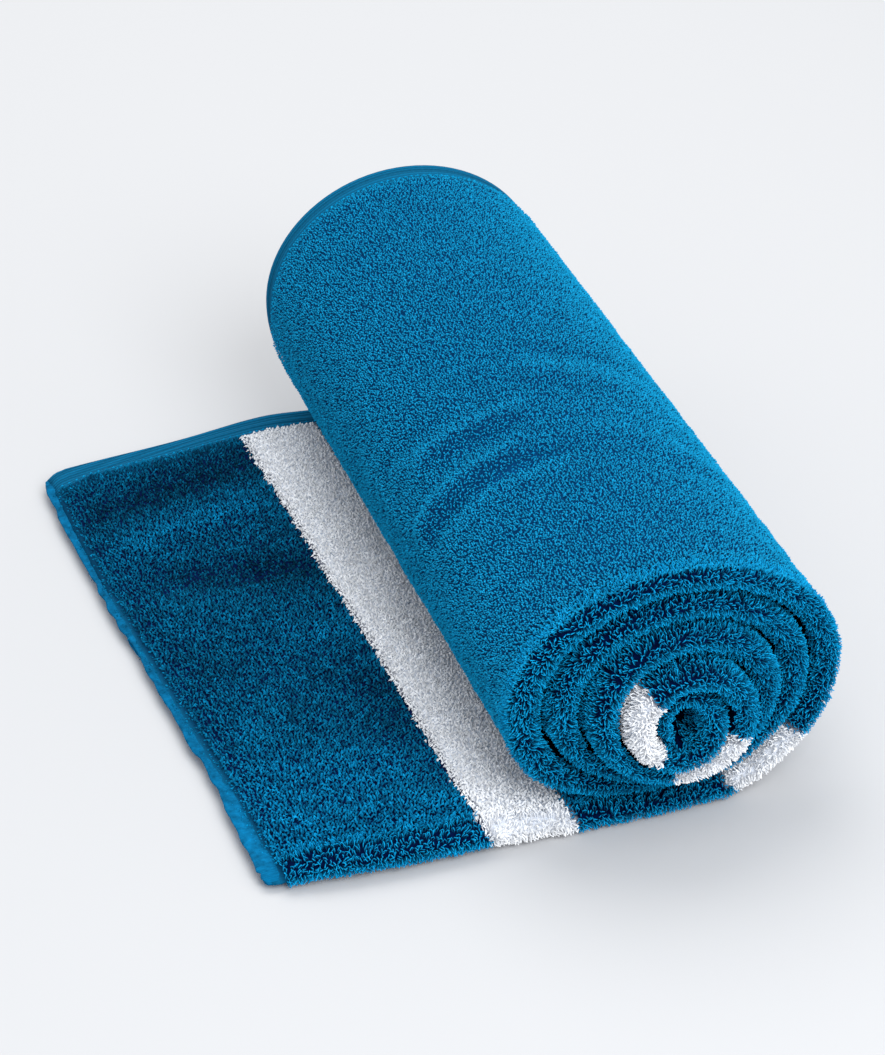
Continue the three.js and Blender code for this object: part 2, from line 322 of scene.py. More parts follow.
# Bake maps: the sheet's own part with its margin and two end caps, and the cell of a loop with its stations.
MAP_WIDE = 0.97
MAP_LONG = 0.99
MAP_MARGIN = 0.005
CAP_MAP_FROM = 0.975
CAP_MAP_WIDE = 0.02
CAP_MAP_LONG = 0.4
CELL_FILLED = 0.9
CELL_STATION = 0.22
CELL_CAPS = [[(0.02, 0.9), (0.3, 0.9), (0.16, 1.0)], [(0.52, 0.9), (0.8, 0.9), (0.66, 1.0)]]

# Finishes. A scale is a pattern's, a gain and a start give a brightness, and a bump has strength and depth.
KNOB_SCALE = 620
KNOB_GAIN = 1.2
GROUND_WEAVE_SCALE = 900
GROUND_BUMP = (0.6, 0.0006)
SIDE_HEM_GRAIN = (0.5, 0.75)
SIDE_HEM_LINES = 0.28
SIDE_HEM_RELIEF = 0.6
END_HEM_WEAVE_SCALE = 700
END_HEM_WEAVE_GAIN = 0.7
END_HEM_MOTTLE_SCALE = 210
END_HEM_MOTTLE = (1.1, -0.2)
# The end hem is painted brighter towards the fold: painted light.
END_HEM_NEAR_LIGHT = (0.22, 1.0)
END_HEM_BUMP = (0.35, 0.0004)

# The camera of the photo, and the lamps.
CAMERA_AZIMUTH = math.radians(18.98)
CAMERA_TILT = math.radians(32.03)
CAMERA_AT = (-0.41224, -1.08174, 0.75361)
LENS_MM = 104.75
SENSOR_MM = 36.0
CAMERA_CLIP = (0.05, 50)
LIT_AT = (0, 0, 0.05)
KEY_AT = (0.05, 1.1, 1.9)
KEY_COLOUR = (1.0, 0.985, 0.96)
NEAR_AT = (0.25, -1.5, 1.45)
NEAR_SIZE = 1.4
NEAR_COLOUR = (0.97, 0.985, 1.0)


def ease(value):
    """3 t^2 - 2 t^3, with t held between 0 and 1."""
    t = np.clip(value, 0.0, 1.0)
    return t * t * (3 - 2 * t)


def between(low, high, share):
    """low + (high - low) share."""
    return low + (high - low) * share


def ramp(along, start_and_over):
    """The ease curve from 0 at a start to 1 after a length."""
    start, over = start_and_over
    return ease((along - start) / over)


class Noise:
    """Smooth noise from -1 to 1: a seeded grid of random numbers, pitch apart, joined by the ease curve."""

    def __init__(self, seed):
        self.grid = np.random.default_rng(seed).uniform(-1, 1, (NOISE_SIZE, NOISE_SIZE))

    def __call__(self, u, v, pitch=1):
        u, v = u / pitch, v / pitch
        i, j = np.floor(u).astype(int), np.floor(v).astype(int)
        a, b = ease(u - i), ease(v - j)
        i, j, i1, j1 = (at % NOISE_SIZE for at in (i, j, i + 1, j + 1))
        low = between(self.grid[i, j], self.grid[i1, j], a)
        high = between(self.grid[i, j1], self.grid[i1, j1], a)
        return between(low, high, b)

    def line(self, u):
        """The same noise along one line."""
        return self(u, 0.5 + 0 * u)


CLUMPS, MOUNDS, SWIRLS, DRIFTS, SWAYS, HEM_WAVES = (Noise(seed) for seed in (3, 4, 5, 6, 7, 8))


# The rolled form.


def column(name, turn):
    """A column of the table of turns at any turn, on a smooth cubic curve through its rows."""
    at = TURNS[:, 0]
    value = TURNS[:, TURN_COLUMNS.index(name)]
    step = np.diff(at)
    rise = np.diff(value) / step
    slope = np.empty(len(at))
    slope[0], slope[-1] = rise[0], rise[-1]
    middle = (rise[:-1] * step[1:] + rise[1:] * step[:-1]) / (step[:-1] + step[1:])
    slope[1:-1] = np.where(rise[:-1] * rise[1:] <= 0, 0.0, middle)
    t = np.clip(turn, at[0], at[-1])
    i = np.clip(np.searchsorted(at, t, side="right") - 1, 0, len(at) - 2)
    u = (t - at[i]) / step[i]
    start = value[i] * (1 + 2 * u) * (1 - u) ** 2 + slope[i] * step[i] * u * (1 - u) ** 2
    end = value[i + 1] * u * u * (3 - 2 * u) + slope[i + 1] * step[i] * u * u * (u - 1)
    return start + end


FLOOR = dict(zip(TURN_COLUMNS, TURNS[0]))
FLOOR_PLY = float(column("centre_z", 1.0) - column("half_height", 1.0)) - FLOOR["air"]
MM_A_TURN = FULL_TURN * FLOOR["half_width"]
INNER_GIRTH = FULL_TURN * column("half_width", INNER_END_TURN)


def flap_along(turn):
    """How far along the flap a negative turn lies, and 0 in the roll."""
    return np.maximum(-turn, 0) * MM_A_TURN


def bump_at(u, v, line):
    """height exp(-(d / width)^2), where d is the distance from the line between two points."""
    u1, v1, u2, v2, width, height = line
    du, dv = u2 - u1, v2 - v1
    share = np.clip(((u - u1) * du + (v - v1) * dv) / (du * du + dv * dv), 0, 1)
    distance = np.hypot(u - u1 - share * du, v - v1 - share * dv)
    return height * np.exp(-((distance / width) ** 2))


def crease_height(turn, y):
    """The sum of the bumps of all creases, with the outer turn unrolled flat."""
    girth = FULL_TURN * FLOOR["centre_z"]
    lines = [(t1 * girth, y1, t2 * girth, y2, w, h) for t1, y1, t2, y2, w, h in CREASES]
    return sum(bump_at(turn * girth, y, line) for line in lines)


def swell_height(x, y):
    """The sum of the bumps of all swells, as seen from above."""
    return sum(bump_at(x, y, line) for line in SWELLS)


def oval_point(turn, push):
    """x = cx + (a + push) sin(angle), z = cz - (b + push) cos(angle)."""
    angle = turn * FULL_TURN
    x = column("centre_x", turn) + (column("half_width", turn) + push) * np.sin(angle)
    z = column("centre_z", turn) - (column("half_height", turn) + push) * np.cos(angle)
    return x, z


def underside_at(x):
    """Height of the outer oval above the floor at one x, right of its lowest point."""
    turn = np.zeros_like(x)
    for _ in range(UNDERSIDE_STEPS):
        reach = np.clip((x - column("centre_x", turn)) / column("half_width", turn), 0, 1)
        turn = np.arcsin(reach) / FULL_TURN
    return oval_point(turn, 0.0)[1]


def faces_of_turn(turn):
    """The turn's own oval and the next one's, with the air between them: x and z of each."""
    return (*oval_point(turn, 0.0), *oval_point(turn + 1, column("air", turn)))


def roll_point(turn, depth):
    """Between the turn's own oval at depth 0 and the next one's at depth 1, laid flat on the floor."""
    outer_x, outer_z, inner_x, inner_z = faces_of_turn(turn)
    x = between(outer_x, inner_x, depth)
    z = between(outer_z, inner_z, depth)
    sag = underside_at(np.minimum(x, FLAT_SPOT_TO))
    return x, z - sag * np.clip(1 - (z - sag) / SAG_HEIGHT, 0, 1)


def rolled_point(turn, across, depth):
    """The roll's section, carried along y, with the far end higher and the creases pushed out or in."""
    share = (across + HALF_WIDTH) / (2 * HALF_WIDTH)
    x, z = roll_point(turn, depth)
    bump = np.where(turn < 1, crease_height(turn, across) * (1 - depth) ** 2, 0.0)
    angle = turn * FULL_TURN
    widen = 1 - FAR_WIDTH_LOSS * share * ease(turn / FAR_WIDTH_TURN)
    x = x * widen + bump * np.sin(angle)
    z = z * (1 + FAR_HEIGHT_GAIN * share) - bump * np.cos(angle)
    return np.stack([x, across - column("out", turn), z], -1)


def narrowed_along(along):
    """0 at first, then the curve (a - from)^2 / (2 (to - from)), and past it a straight line of slope 1."""
    bent = np.maximum(along - NARROW_FROM, 0) ** 2 / (2 * (NARROW_TO - NARROW_FROM))
    return np.where(along > NARROW_TO, along - (NARROW_FROM + NARROW_TO) / 2, bent)


def hem_seen(across):
    """How much of the end hem shows beyond the pile: more towards the fold, and uneven."""
    uneven = END_HEM_UNEVEN * HEM_WAVES.line(across / END_HEM_UNEVEN_PITCH)
    return between(END_HEM_WIDE, END_HEM_SEEN, ease((across + HALF_WIDTH) / END_HEM_WIDE_OVER)) + uneven


def flap_height(along, across):
    """Height of the flap as a share of its full height: low in the end hem, then a short step and a slope up
    to the pile, and a little lower in the side hems too."""
    from_hem = FLAP_LENGTH - along - hem_seen(across)
    edge = between(END_HEM_HEIGHT, END_EDGE_HEIGHT, ease(from_hem / END_HEM_STEP))
    end = between(edge, 1.0, ease((from_hem - END_HEM_STEP) / END_RISE))
    to_side = (HALF_WIDTH - across - HEM_WIDTH) / HEM_STEP
    side = between(1.0, SIDE_HEM_HEIGHT, (1 - ease(to_side)) * ramp(along, SIDE_HEM_LOW))
    return np.minimum(end, side)


def flap_point(along, across, depth, share_up=None):
    """The flat flap: skewed, narrowed towards its end, with swells, and lower in its hems."""
    from_fold = across + HALF_WIDTH
    share = from_fold / (2 * HALF_WIDTH)
    laid = ramp(along, LAID_FLAT)
    wave = HEM_WAVE * np.sin(FULL_TURN * (from_fold - HEM_WAVE_START) / HEM_WAVE_LENGTH)
    skew = laid * (SKEW * from_fold + LAYER_SLIP * depth)
    x = FLOOR["centre_x"] - along - skew - ramp(along, ASKEW_END) * (HEM_SKEW * from_fold - wave)
    corner = CORNER_IN * ramp(along, CORNER_TURNED) * np.clip(1 - share / CORNER_SHARE, 0, 1)
    far_edge = (FAR_EDGE_OUT + FLOOR["out"]) * laid - NARROWING * narrowed_along(along)
    y = across - FLOOR["out"] + share * far_edge + corner
    ply = between(FLOOR_PLY * (1 + FAR_HEIGHT_GAIN * share), FLAP_PLY, ramp(along, THICKER))
    share_up = flap_height(along, across) if share_up is None else share_up
    return np.stack([x, y, depth * (ply + swell_height(x, y)) * share_up], -1)


def cloth_point(turn, across, depth):
    """A point of the cloth in millimetres, from its turn, its place across and its depth in the layers."""
    turn, across, depth = np.broadcast_arrays(
        np.asarray(turn, float), np.asarray(across, float), np.asarray(depth, float)
    )
    flap = flap_point(flap_along(turn), across, depth)
    roll = rolled_point(np.maximum(turn, 0), across, depth)
    return np.where((turn < 0)[..., None], flap, roll)


def ply_at(turn):
    """Thickness of the two layers in the roll or the flap, in millimetres."""
    outer_x, outer_z, inner_x, inner_z = faces_of_turn(np.maximum(turn, 0))
    rolled = np.hypot(outer_x - inner_x, outer_z - inner_z)
    return np.where(turn < 0, between(FLOOR_PLY, FLAP_PLY, ramp(flap_along(turn), THICKER)), rolled)


def cloth_length_table():
    """Distance from the end hem along the cloth, as (turns, distances), on the roll's own path."""
    turns = np.linspace(0, INNER_END_TURN, PATH_STEPS)
    return turns, FLAP_LENGTH + path_length(cloth_point(turns, 0.0, PATH_DEPTH))


def path_length(points):
    """Distance along a path at each of its points."""
    steps = np.linalg.norm(np.diff(points, axis=0), axis=1)
    return np.concatenate([[0], np.cumsum(steps)])


LENGTH_TURNS, LENGTH_MM = cloth_length_table()
CLOTH_LENGTH = float(LENGTH_MM[-1])


def length_at(turn):
    """Distance along the cloth from the end of the flap, at a turn."""
    return np.where(turn < 0, FLAP_LENGTH - flap_along(turn), np.interp(turn, LENGTH_TURNS, LENGTH_MM))


def turn_at(length):
    """The turn at a distance from the end of the flap: length_at the other way round."""
    flap = (length - FLAP_LENGTH) / MM_A_TURN
    return np.where(length < FLAP_LENGTH, flap, np.interp(length, LENGTH_MM, LENGTH_TURNS))


def whiteness(length, softness, margin=0.0):
    """1 in a white stripe, margin inside its edges, and 0 in the blue, from either end of the cloth."""
    from_end = np.minimum(length, CLOTH_LENGTH - length)
    white = np.zeros_like(from_end)
    for start, end in STRIPES:
        inside = np.minimum(from_end - start, end - from_end) - margin
        white = np.maximum(white, np.clip(inside / softness + 0.5, 0, 1))
    return white


def inner_edge_at(turn):
    """The inner layer's edge, a little short of the outer one's but level with it on the flap."""
    return HALF_WIDTH - HEMS_APART * (1 - ramp(flap_along(turn), HEMS_TOGETHER))


def fold_reach_at(turn):
    """How far across the round of the fold reaches, more towards the end of the flap."""
    return between(FOLD_REACH, FLAP_FOLD_REACH, ramp(flap_along(turn), FOLD_SOFT))


def fold_mean(turn):
    """The mean of the fold's reach and half its thickness: the radius that its arc is measured with."""
    return (fold_reach_at(turn) + ply_at(turn) / 2) / 2


def hem_width_at(turn):
    """Width of the side hems, a little more on the flap."""
    return between(HEM_WIDTH, FLAP_HEM_WIDTH, ramp(flap_along(turn), SIDE_HEM_LOW))


def side_hem_share(turn, across, depth):
    """1 in a side hem and 0 past the short step beside it."""
    edge = np.where(depth < 0.5, HALF_WIDTH, inner_edge_at(turn))
    return 1 - ease((edge - across - hem_width_at(turn)) / HEM_STEP)


def hem_share(turn, across, depth):
    """1 on the hems, 0 where loops stand."""
    from_hem = FLAP_LENGTH - flap_along(turn) - hem_seen(across)
    end = np.where(turn < 0, 1 - ease(from_hem / END_HEM_STEP), 0.0)
    inner = 1 - ease(((INNER_END_TURN - turn) * INNER_GIRTH - HEM_WIDTH) / HEM_STEP)
    return np.maximum(np.maximum(side_hem_share(turn, across, depth), end), inner)


def hemmed_depth(turn, depth):
    """The last part of the inner end is its hem, thinner about the middle of the two layers."""
    to_end = (INNER_END_TURN - turn) * INNER_GIRTH / HEM_WIDTH
    return 0.5 + (depth - 0.5) * between(INNER_HEM_HEIGHT, 1, ease(to_end))


# Meshes.


def clear(*starts):
    """Takes away what an earlier run of the same operator made: the objects whose names start so."""
    for old in [o for o in bpy.data.objects if o.name.startswith(starts)]:
        bpy.data.objects.remove(old)


def make_mesh(name, points, faces, material, attributes, uv=None, smooth=True):
    """One mesh object from whole arrays: points in millimetres, faces as rows of 3 or 4 indices."""
    mesh = bpy.data.meshes.new(name)
    mesh.vertices.add(len(points))
    mesh.vertices.foreach_set("co", (points * MM).astype(np.float32).ravel())
    loops = np.concatenate([f.ravel() for f in faces]).astype(np.int32)
    sizes = np.concatenate([np.full(len(f), f.shape[1]) for f in faces])
    starts = np.concatenate([[0], np.cumsum(sizes)[:-1]]).astype(np.int32)
    mesh.loops.add(len(loops))
    mesh.loops.foreach_set("vertex_index", loops)
    mesh.polygons.add(len(sizes))
    mesh.polygons.foreach_set("loop_start", starts)
    mesh.update(calc_edges=True)
    mesh.polygons.foreach_set("use_smooth", np.full(len(sizes), smooth))
    for key, values in attributes.items():
        layer = mesh.attributes.new(key, "FLOAT", "POINT")
        layer.data.foreach_set("value", values.astype(np.float32).ravel())
    if uv is not None:
        layer = mesh.uv_layers.new(name="OFBake")
        layer.data.foreach_set("uv", uv.astype(np.float32).ravel())
    mesh.materials.append(material)
    mesh.validate()
    piece = bpy.data.objects.new(name, mesh)
    bpy.context.scene.collection.objects.link(piece)
    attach(piece, BODY)


# The sheet.


def stations():
    """Turns at which the sheet has a section, from the flap's end to the inner end."""
    edge = np.array(STATION_EDGES, float)
    flap = np.arange(edge[-1] + FLAP_STATION_STEP, FLAP_LENGTH - 1, FLAP_STATION_STEP)
    along = FLAP_LENGTH - np.concatenate([edge, flap])
    roll = np.concatenate([whole + np.arange(count) / count for whole, count in enumerate(STATIONS_A_TURN)])
    roll = roll[roll < INNER_END_TURN - 0.5 / STATIONS_A_TURN[-1]]
    return np.concatenate([-along / MM_A_TURN, roll, [INNER_END_TURN]])


def base_depth(turn, pile):
    """Depth of the cloth under its pile, whose loops are pile millimetres high."""
    return np.minimum(pile / ply_at(turn), DEEPEST_GROUND)


def sheet_sections(turns, props):
    """Rings of (across, depth), one for each turn: the outer layer from its hem to the fold, round the fold,
    the inner layer to its hem, the slot between the layers, and a half round at each hem's edge."""
    t = turns[:, None]
    shallow = base_depth(t, props.pile_height)
    deep = base_depth(t, props.fold_loop_roots)
    reach = fold_reach_at(t)
    fold_start = -HALF_WIDTH + reach
    outer_edge = HALF_WIDTH + 0 * t
    inner_edge = inner_edge_at(t)
    hem = np.linspace(0, HEM_WIDTH + HEM_STEP, HEM_POINTS)[None, :]
    ridges = HEM_RIDGE * np.cos(FULL_TURN * hem / HEM_RIDGE_PITCH) * (hem < HEM_WIDTH - 1)
    angle = np.linspace(0, math.pi, FOLD_POINTS + 2)[None, 1:-1]
    slot_angle = np.linspace(0, math.pi, SLOT_FOLD_POINTS)[None, 1:-1]
    slot_leg = np.array([[0.0, 0.5, 1.0]])
    half = np.linspace(-math.pi / 2, math.pi / 2, EDGE_POINTS)[None, 1:-1]

    def side(edge, points):
        """One layer from its hem to the fold: the ridged hem, a step, and ground that deepens to the fold."""
        leg = np.linspace(0, 1, points + 1)[None, 1:]
        start = edge - EDGE_ROUND - hem
        end = start[:, -1:]
        to_fold = (1 - leg) * (end - fold_start)
        hem_depth = between(HEM_DEPTH - ridges / ply_at(t), shallow, ease((hem - HEM_WIDTH) / HEM_STEP))
        leg_depth = between(deep, shallow, ease(to_fold / FOLD_BLEND))
        return (
            np.concatenate([start, between(end, fold_start, leg)], 1),
            np.concatenate([hem_depth + 0 * start, leg_depth], 1),
        )

    def rounded(edge, low, high):
        """A half ellipse at a hem's edge, from one depth to the other."""
        middle, radius = (low + high) / 2, (high - low) / 2
        return edge - EDGE_ROUND * (1 - np.cos(half)), middle + radius * np.sin(half) + 0 * t

    def backwards(part):
        """The same points in the other order."""
        return part[0][:, ::-1], part[1][:, ::-1]

    inner_across, inner_depth = side(inner_edge, INNER_LEG)
    slot_turn = fold_start - reach * SLOT_FOLD_SHARE * np.sin(slot_angle)
    parts = [
        side(outer_edge, OUTER_LEG),
        (fold_start - (reach - props.fold_loop_roots) * np.sin(angle), 0.5 - (0.5 - deep) * np.cos(angle)),
        backwards((inner_across, 1 - inner_depth)),
        backwards(rounded(inner_edge, SLOT_TO, 1 - HEM_DEPTH)),
        (between(inner_edge - EDGE_ROUND, fold_start, slot_leg), SLOT_TO + 0 * slot_leg + 0 * t),
        (slot_turn, 0.5 + (0.5 - SLOT_FROM) * np.cos(slot_angle) + 0 * t),
        backwards((between(outer_edge - EDGE_ROUND, fold_start, slot_leg), SLOT_FROM + 0 * slot_leg + 0 * t)),
        backwards(rounded(outer_edge, HEM_DEPTH, SLOT_FROM)),
    ]
    return tuple(np.concatenate([part[k] for part in parts], 1) for k in (0, 1))


def grid_faces(rows, columns):
    """Quads of a grid of rows by columns that closes on itself along each row, facing outwards."""
    i, j = np.meshgrid(np.arange(rows - 1), np.arange(columns), indexing="ij")
    a = (i * columns + j).ravel()
    b = (i * columns + (j + 1) % columns).ravel()
    return np.stack([a, a + columns, b + columns, b], 1)


def cap_faces(across, depth, first):
    """Triangles that fill one ring, from its own flat picture of across and depth."""
    outline = [Vector((a, d * FLAP_PLY, 0)) for a, d in zip(across, depth)]
    faces = np.array(tessellate_polygon([outline]))
    p = np.stack([across, depth * FLAP_PLY], 1)[faces]
    turn = np.cross(p[:, 1] - p[:, 0], p[:, 2] - p[:, 0])
    faces = np.where((turn < 0)[:, None], faces[:, ::-1], faces)
    return faces[:, ::-1] if first else faces


def sheet_map(ring, across, depth, length, caps):
    """The sheet's bake map: u round the ring and v along the cloth, with the two end caps beside it."""
    rows, columns = across.shape
    u = path_length(np.concatenate([ring, ring[:1]]))
    u = u / u[-1] * MAP_WIDE
    v = (length[:, 0] / CLOTH_LENGTH) * MAP_LONG + MAP_MARGIN
    i, j = np.meshgrid(np.arange(rows - 1), np.arange(columns), indexing="ij")
    quad_u = np.stack([u[j], u[j], u[j + 1], u[j + 1]], -1)
    quad_v = np.stack([v[i], v[i + 1], v[i + 1], v[i]], -1)
    parts = [np.stack([quad_u, quad_v], -1).reshape(-1, 2)]
    for faces, middle in zip(caps, (0.25, 0.75)):
        a = across.ravel()[faces.ravel()] / (2 * HALF_WIDTH)
        d = depth.ravel()[faces.ravel()]
        parts.append(np.stack([CAP_MAP_FROM + CAP_MAP_WIDE * d, middle + CAP_MAP_LONG * a], 1))
    return np.concatenate(parts)


def build_sheet(props):
    """The cloth: the rings of all stations, carried along the turns and closed by two flat caps."""
    turns = stations()
    across, depth = sheet_sections(turns, props)
    t = turns[:, None]
    points = cloth_point(t, across, hemmed_depth(t, depth))
    points[..., 2] = np.maximum(points[..., 2], 0.0)
    rows, columns = across.shape
    last = cap_faces(across[-1], depth[-1], False) + (rows - 1) * columns
    caps = [cap_faces(across[0], depth[0], True), last]
    length = np.broadcast_to(length_at(t), across.shape)
    low = hem_share(t, across, depth)
    on_roll = (t >= 0) & (t < 1) & (depth < DEEPEST_GROUND)
    attributes = {
        "white": whiteness(length, STRIPE_SOFT, STRIPE_IN) * (1 - low),
        "hem": low,
        "outside": np.where(on_roll, ease((across + HALF_WIDTH - FOLD_REACH) / FOLD_BLEND), 0.0),
        "side": side_hem_share(t, across, depth),
        "along": length * MM,
        "across": across * MM,
    }
    uv = sheet_map(points[rows // 3], across, depth, length, caps)
    faces = [grid_faces(rows, columns), *caps]
    make_mesh("towel_cloth", points.reshape(-1, 3), faces, cloth_material(), attributes, uv)


# The end hem.


def build_end_hem(props):
    """The hem of the flap's end: a flat band with a round edge, carried along one layer, round the fold and
    back along the other. It lies between the slot and the layer's face, and runs on in under the pile."""
    leg = np.linspace(HALF_WIDTH - EDGE_ROUND, -HALF_WIDTH + FLAP_FOLD_REACH, HEM_STOPS)
    inner_leg = np.minimum(leg, inner_edge_at(np.array(-FLAP_LENGTH / MM_A_TURN)))[::-1]
    angle = np.linspace(0, math.pi, HEM_FOLD_POINTS)[1:-1]
    reach = FLAP_FOLD_REACH - HEM_FOLD_IN

    def carried(reach, low):
        """Straight along one layer, a half ellipse round the fold, and straight back along the other."""
        across = np.concatenate([leg, leg[-1] - reach * np.sin(angle), inner_leg])
        round_fold = 0.5 - (0.5 - low) * np.cos(angle)
        depth = np.concatenate([0 * leg + low, round_fold, 0 * leg + 1 - low])
        return across[:, None], depth[:, None]

    outer_across, outer_depth = carried(reach, 0.0)
    slot_across, slot_depth = carried(reach * SLOT_FOLD_SHARE, SLOT_FROM)
    back = np.linspace(HEM_WIDTH, HEM_END_ROUND, HEM_BACK_POINTS)[None, :-1]
    turned_round = np.linspace(-math.pi / 2, math.pi / 2, HEM_ROUND_POINTS)[None, :]
    from_end = np.concatenate([back, HEM_END_ROUND * (1 - np.cos(turned_round)), back[:, ::-1]], 1)
    share = np.concatenate([0 * back, (1 + np.sin(turned_round)) / 2, 0 * back + 1], 1)
    across = between(slot_across, outer_across, share)
    path = across + 2 * outer_depth * HALF_WIDTH
    waves = HEM_WAVES.line(path / props.hem_scallop_pitch)
    waves = waves * ease((HALF_WIDTH - across) / HEM_WAVES_FROM_CORNER)
    rounded = HEM_CORNER_ROUND * ease((across - HALF_WIDTH + HEM_CORNER_OVER) / HEM_CORNER_OVER) * share
    seam = (from_end - hem_seen(across) + HEM_SEAM_FROM_EDGE) / HEM_SEAM_WIDTH
    sewn = HEM_SEWN_IN * np.exp(-(seam**2)) * share
    inwards = from_end / HEM_PUCKER_PITCH[1] + HEM_PUCKER_FROM
    pucker = HEM_PUCKER * HEM_WAVES(path / HEM_PUCKER_PITCH[0], inwards) * share
    moved = (props.hem_scallop * waves - rounded) * (1 - ease(from_end / HEM_WAVES_OVER))
    eased = HEM_EASED * (1 - ease(from_end / HEM_EASED_OVER)) * share
    depth = between(slot_depth, outer_depth, share) + np.sign(0.5 - outer_depth) * (sewn + pucker + eased)
    corner = HEM_DEPTH * ease((across - HALF_WIDTH + HEM_WIDTH) / HEM_WIDTH)
    depth = np.clip(depth, corner, 1 - corner)
    points = flap_point(FLAP_LENGTH - HEM_END_IN - from_end + moved, across, depth, END_HEM_HEIGHT)
    rows, columns = across.shape
    ring = np.arange(columns)
    cap = np.stack([ring[1:-1] * 0, ring[1:-1], ring[2:]], 1)
    faces = [grid_faces(rows, columns)[:, ::-1], cap, cap[:, ::-1] + (rows - 1) * columns]
    # Where the end hem gets painted light, towards the fold.
    near = 1 - ease((across + HALF_WIDTH) / END_HEM_WIDE_OVER)
    attributes = {"along": (from_end + 0 * across) * MM, "across": path * MM, "near": near}
    make_mesh("towel_end_hem", points.reshape(-1, 3), faces, hem_material(), attributes)


# The pile.


def surface_frame(point, u, v, du, dv):
    """Places, two unit tangents and the unit normal of a surface point(u, v), by small steps du and dv."""
    p = point(u, v)
    first = point(u + du, v) - p
    second = point(u, v + dv) - p
    normal = unit(np.cross(first, second))
    first = unit(first)
    return p, first, np.cross(normal, first), normal


def unit(vectors):
    """Each vector divided by its length."""
    return vectors / (np.linalg.norm(vectors, axis=-1, keepdims=True) + 1e-9)


def scatter(rng, length, width, pitch):
    """Places in a length by width field: a brick pattern of that pitch, each moved a little at random."""
    rows = max(int(round(length / (pitch * BRICK_ROW))), 1)
    columns = max(int(round(width / pitch)), 1)
    i, j = np.meshgrid(np.arange(rows), np.arange(columns), indexing="ij")
    i, j = i.ravel(), j.ravel()
    loose_u, loose_v = (rng.uniform(-loose, loose, i.size) for loose in BRICK_LOOSE)
    u = (i + 0.5 + loose_u) / rows
    v = (j + 0.25 + 0.5 * (i % 2) + loose_v) / columns
    return u * length, v * width


def turned(first, second, angle):
    """A unit tangent at an angle from the first, and the one square to it."""
    c, s = np.cos(angle)[:, None], np.sin(angle)[:, None]
    return c * first + s * second, c * second - s * first


def cell_map(count, local):
    """The bake map of count loops: each has its own square cell, with a margin, laid out as local."""
    side = int(math.ceil(math.sqrt(count)))
    n = np.arange(count)
    base = np.stack([n % side, n // side], 1) / side
    inside = local.reshape(-1, 2) * CELL_FILLED + (1 - CELL_FILLED) / 2
    return (base[:, None] + inside[None] * (1 / side)).reshape(-1, 2)


def triangles(*corners):
    """Rows of triangles from the x and y of their three corners."""
    return np.stack([np.stack(corner, 1) for corner in corners], 1)


def repeated(count, each, corner):
    """Faces of count loops of each points, all with the corners of the first."""
    return (np.arange(count)[:, None, None] * each + corner[None]).reshape(-1, 3)


def short_loops(place, along, side, normal, length, width, height, sink, bow):
    """Low loops seen from above: a bowed spindle of five points, its two ends sunk in the cloth.

    The ends are at place -+ length/2 along and bow to the side, sink lower. The middle is width by height."""
    half = along * (length / 2)[:, None]
    wide = side * (width / 2)[:, None]
    top = normal * height[:, None]
    end = place - normal * sink[:, None] + side * bow[:, None]
    points = np.stack([end - half, end + half, place + wide, place + top, place - wide], 1)
    corner = np.array([(1, 2, 3), (1, 3, 4), (1, 4, 2), (0, 3, 2), (0, 4, 3), (0, 2, 4)])
    count = len(place)
    k = np.arange(3) / 3
    left, right = (k, 0 * k + 0.5), (k + 1 / 3, 0 * k + 0.5)
    upper = triangles((k + 1 / 6, 0 * k + 1), left, right)
    lower = triangles((k + 1 / 6, 0 * k), right, left)
    uv = cell_map(count, np.concatenate([upper, lower]))
    return points.reshape(-1, 3), repeated(count, 5, corner), np.tile(SHORT_PAINTED_SHADING, count), uv, 5


def tall_loops(root, along, side, normal, width, height, yarn, lean_along, lean_side):
    """Standing loops of yarn: a teardrop of five stations, three-sided, from root to root.

    A station is at root + width/2 out along + height up (normal + up (lean_along along + lean_side side))."""
    up = height[:, None] * LOOP_UP
    move_along = (width / 2)[:, None] * LOOP_OUT + lean_along[:, None] * up * LOOP_UP
    move_side = lean_side[:, None] * up * LOOP_UP
    centre = (
        root[:, None]
        + move_along[..., None] * along[:, None]
        + up[..., None] * normal[:, None]
        + move_side[..., None] * side[:, None]
    )
    path = unit(np.gradient(centre, axis=1))
    first = unit(side[:, None] - path * (side[:, None] * path).sum(2, keepdims=True))
    second = np.cross(path, first)
    turn = np.arange(3) * FULL_TURN / 3
    ring = first[:, :, None] * np.cos(turn)[:, None] + second[:, :, None] * np.sin(turn)[:, None]
    points = centre[:, :, None] + ring * (yarn / 2)[:, None, None, None]
    station, k = (grid.ravel() for grid in np.meshgrid(np.arange(4), np.arange(3), indexing="ij"))
    a, b = station * 3 + k, station * 3 + (k + 1) % 3
    ends = [(0, 2, 1), (12, 13, 14)]
    corner = np.concatenate([np.stack([a, b, b + 3], 1), np.stack([a, b + 3, a + 3], 1), ends])
    x0, x1, y0, y1 = k / 3, (k + 1) / 3, station * CELL_STATION, (station + 1) * CELL_STATION
    first_half = triangles((x0, y0), (x1, y0), (x1, y1))
    second_half = triangles((x0, y0), (x1, y1), (x0, y1))
    count = len(root)
    uv = cell_map(count, np.concatenate([first_half, second_half, CELL_CAPS]))
    return points.reshape(-1, 3), repeated(count, 15, corner), np.tile(np.repeat(LOOP_PAINTED_SHADING, 3), count), uv, 15


def loops_piece(name, made, white, tone, material):
    """One piece of loops, with the whiteness and tone of each loop on all its points."""
    points, faces, tip, uv, each = made
    points[:, 2] = np.maximum(points[:, 2], LOWEST)
    attributes = {"white": np.repeat(white, each), "tip": tip, "tone": np.repeat(tone, each)}
    make_mesh(name, points, [faces], material, attributes, uv, smooth=False)


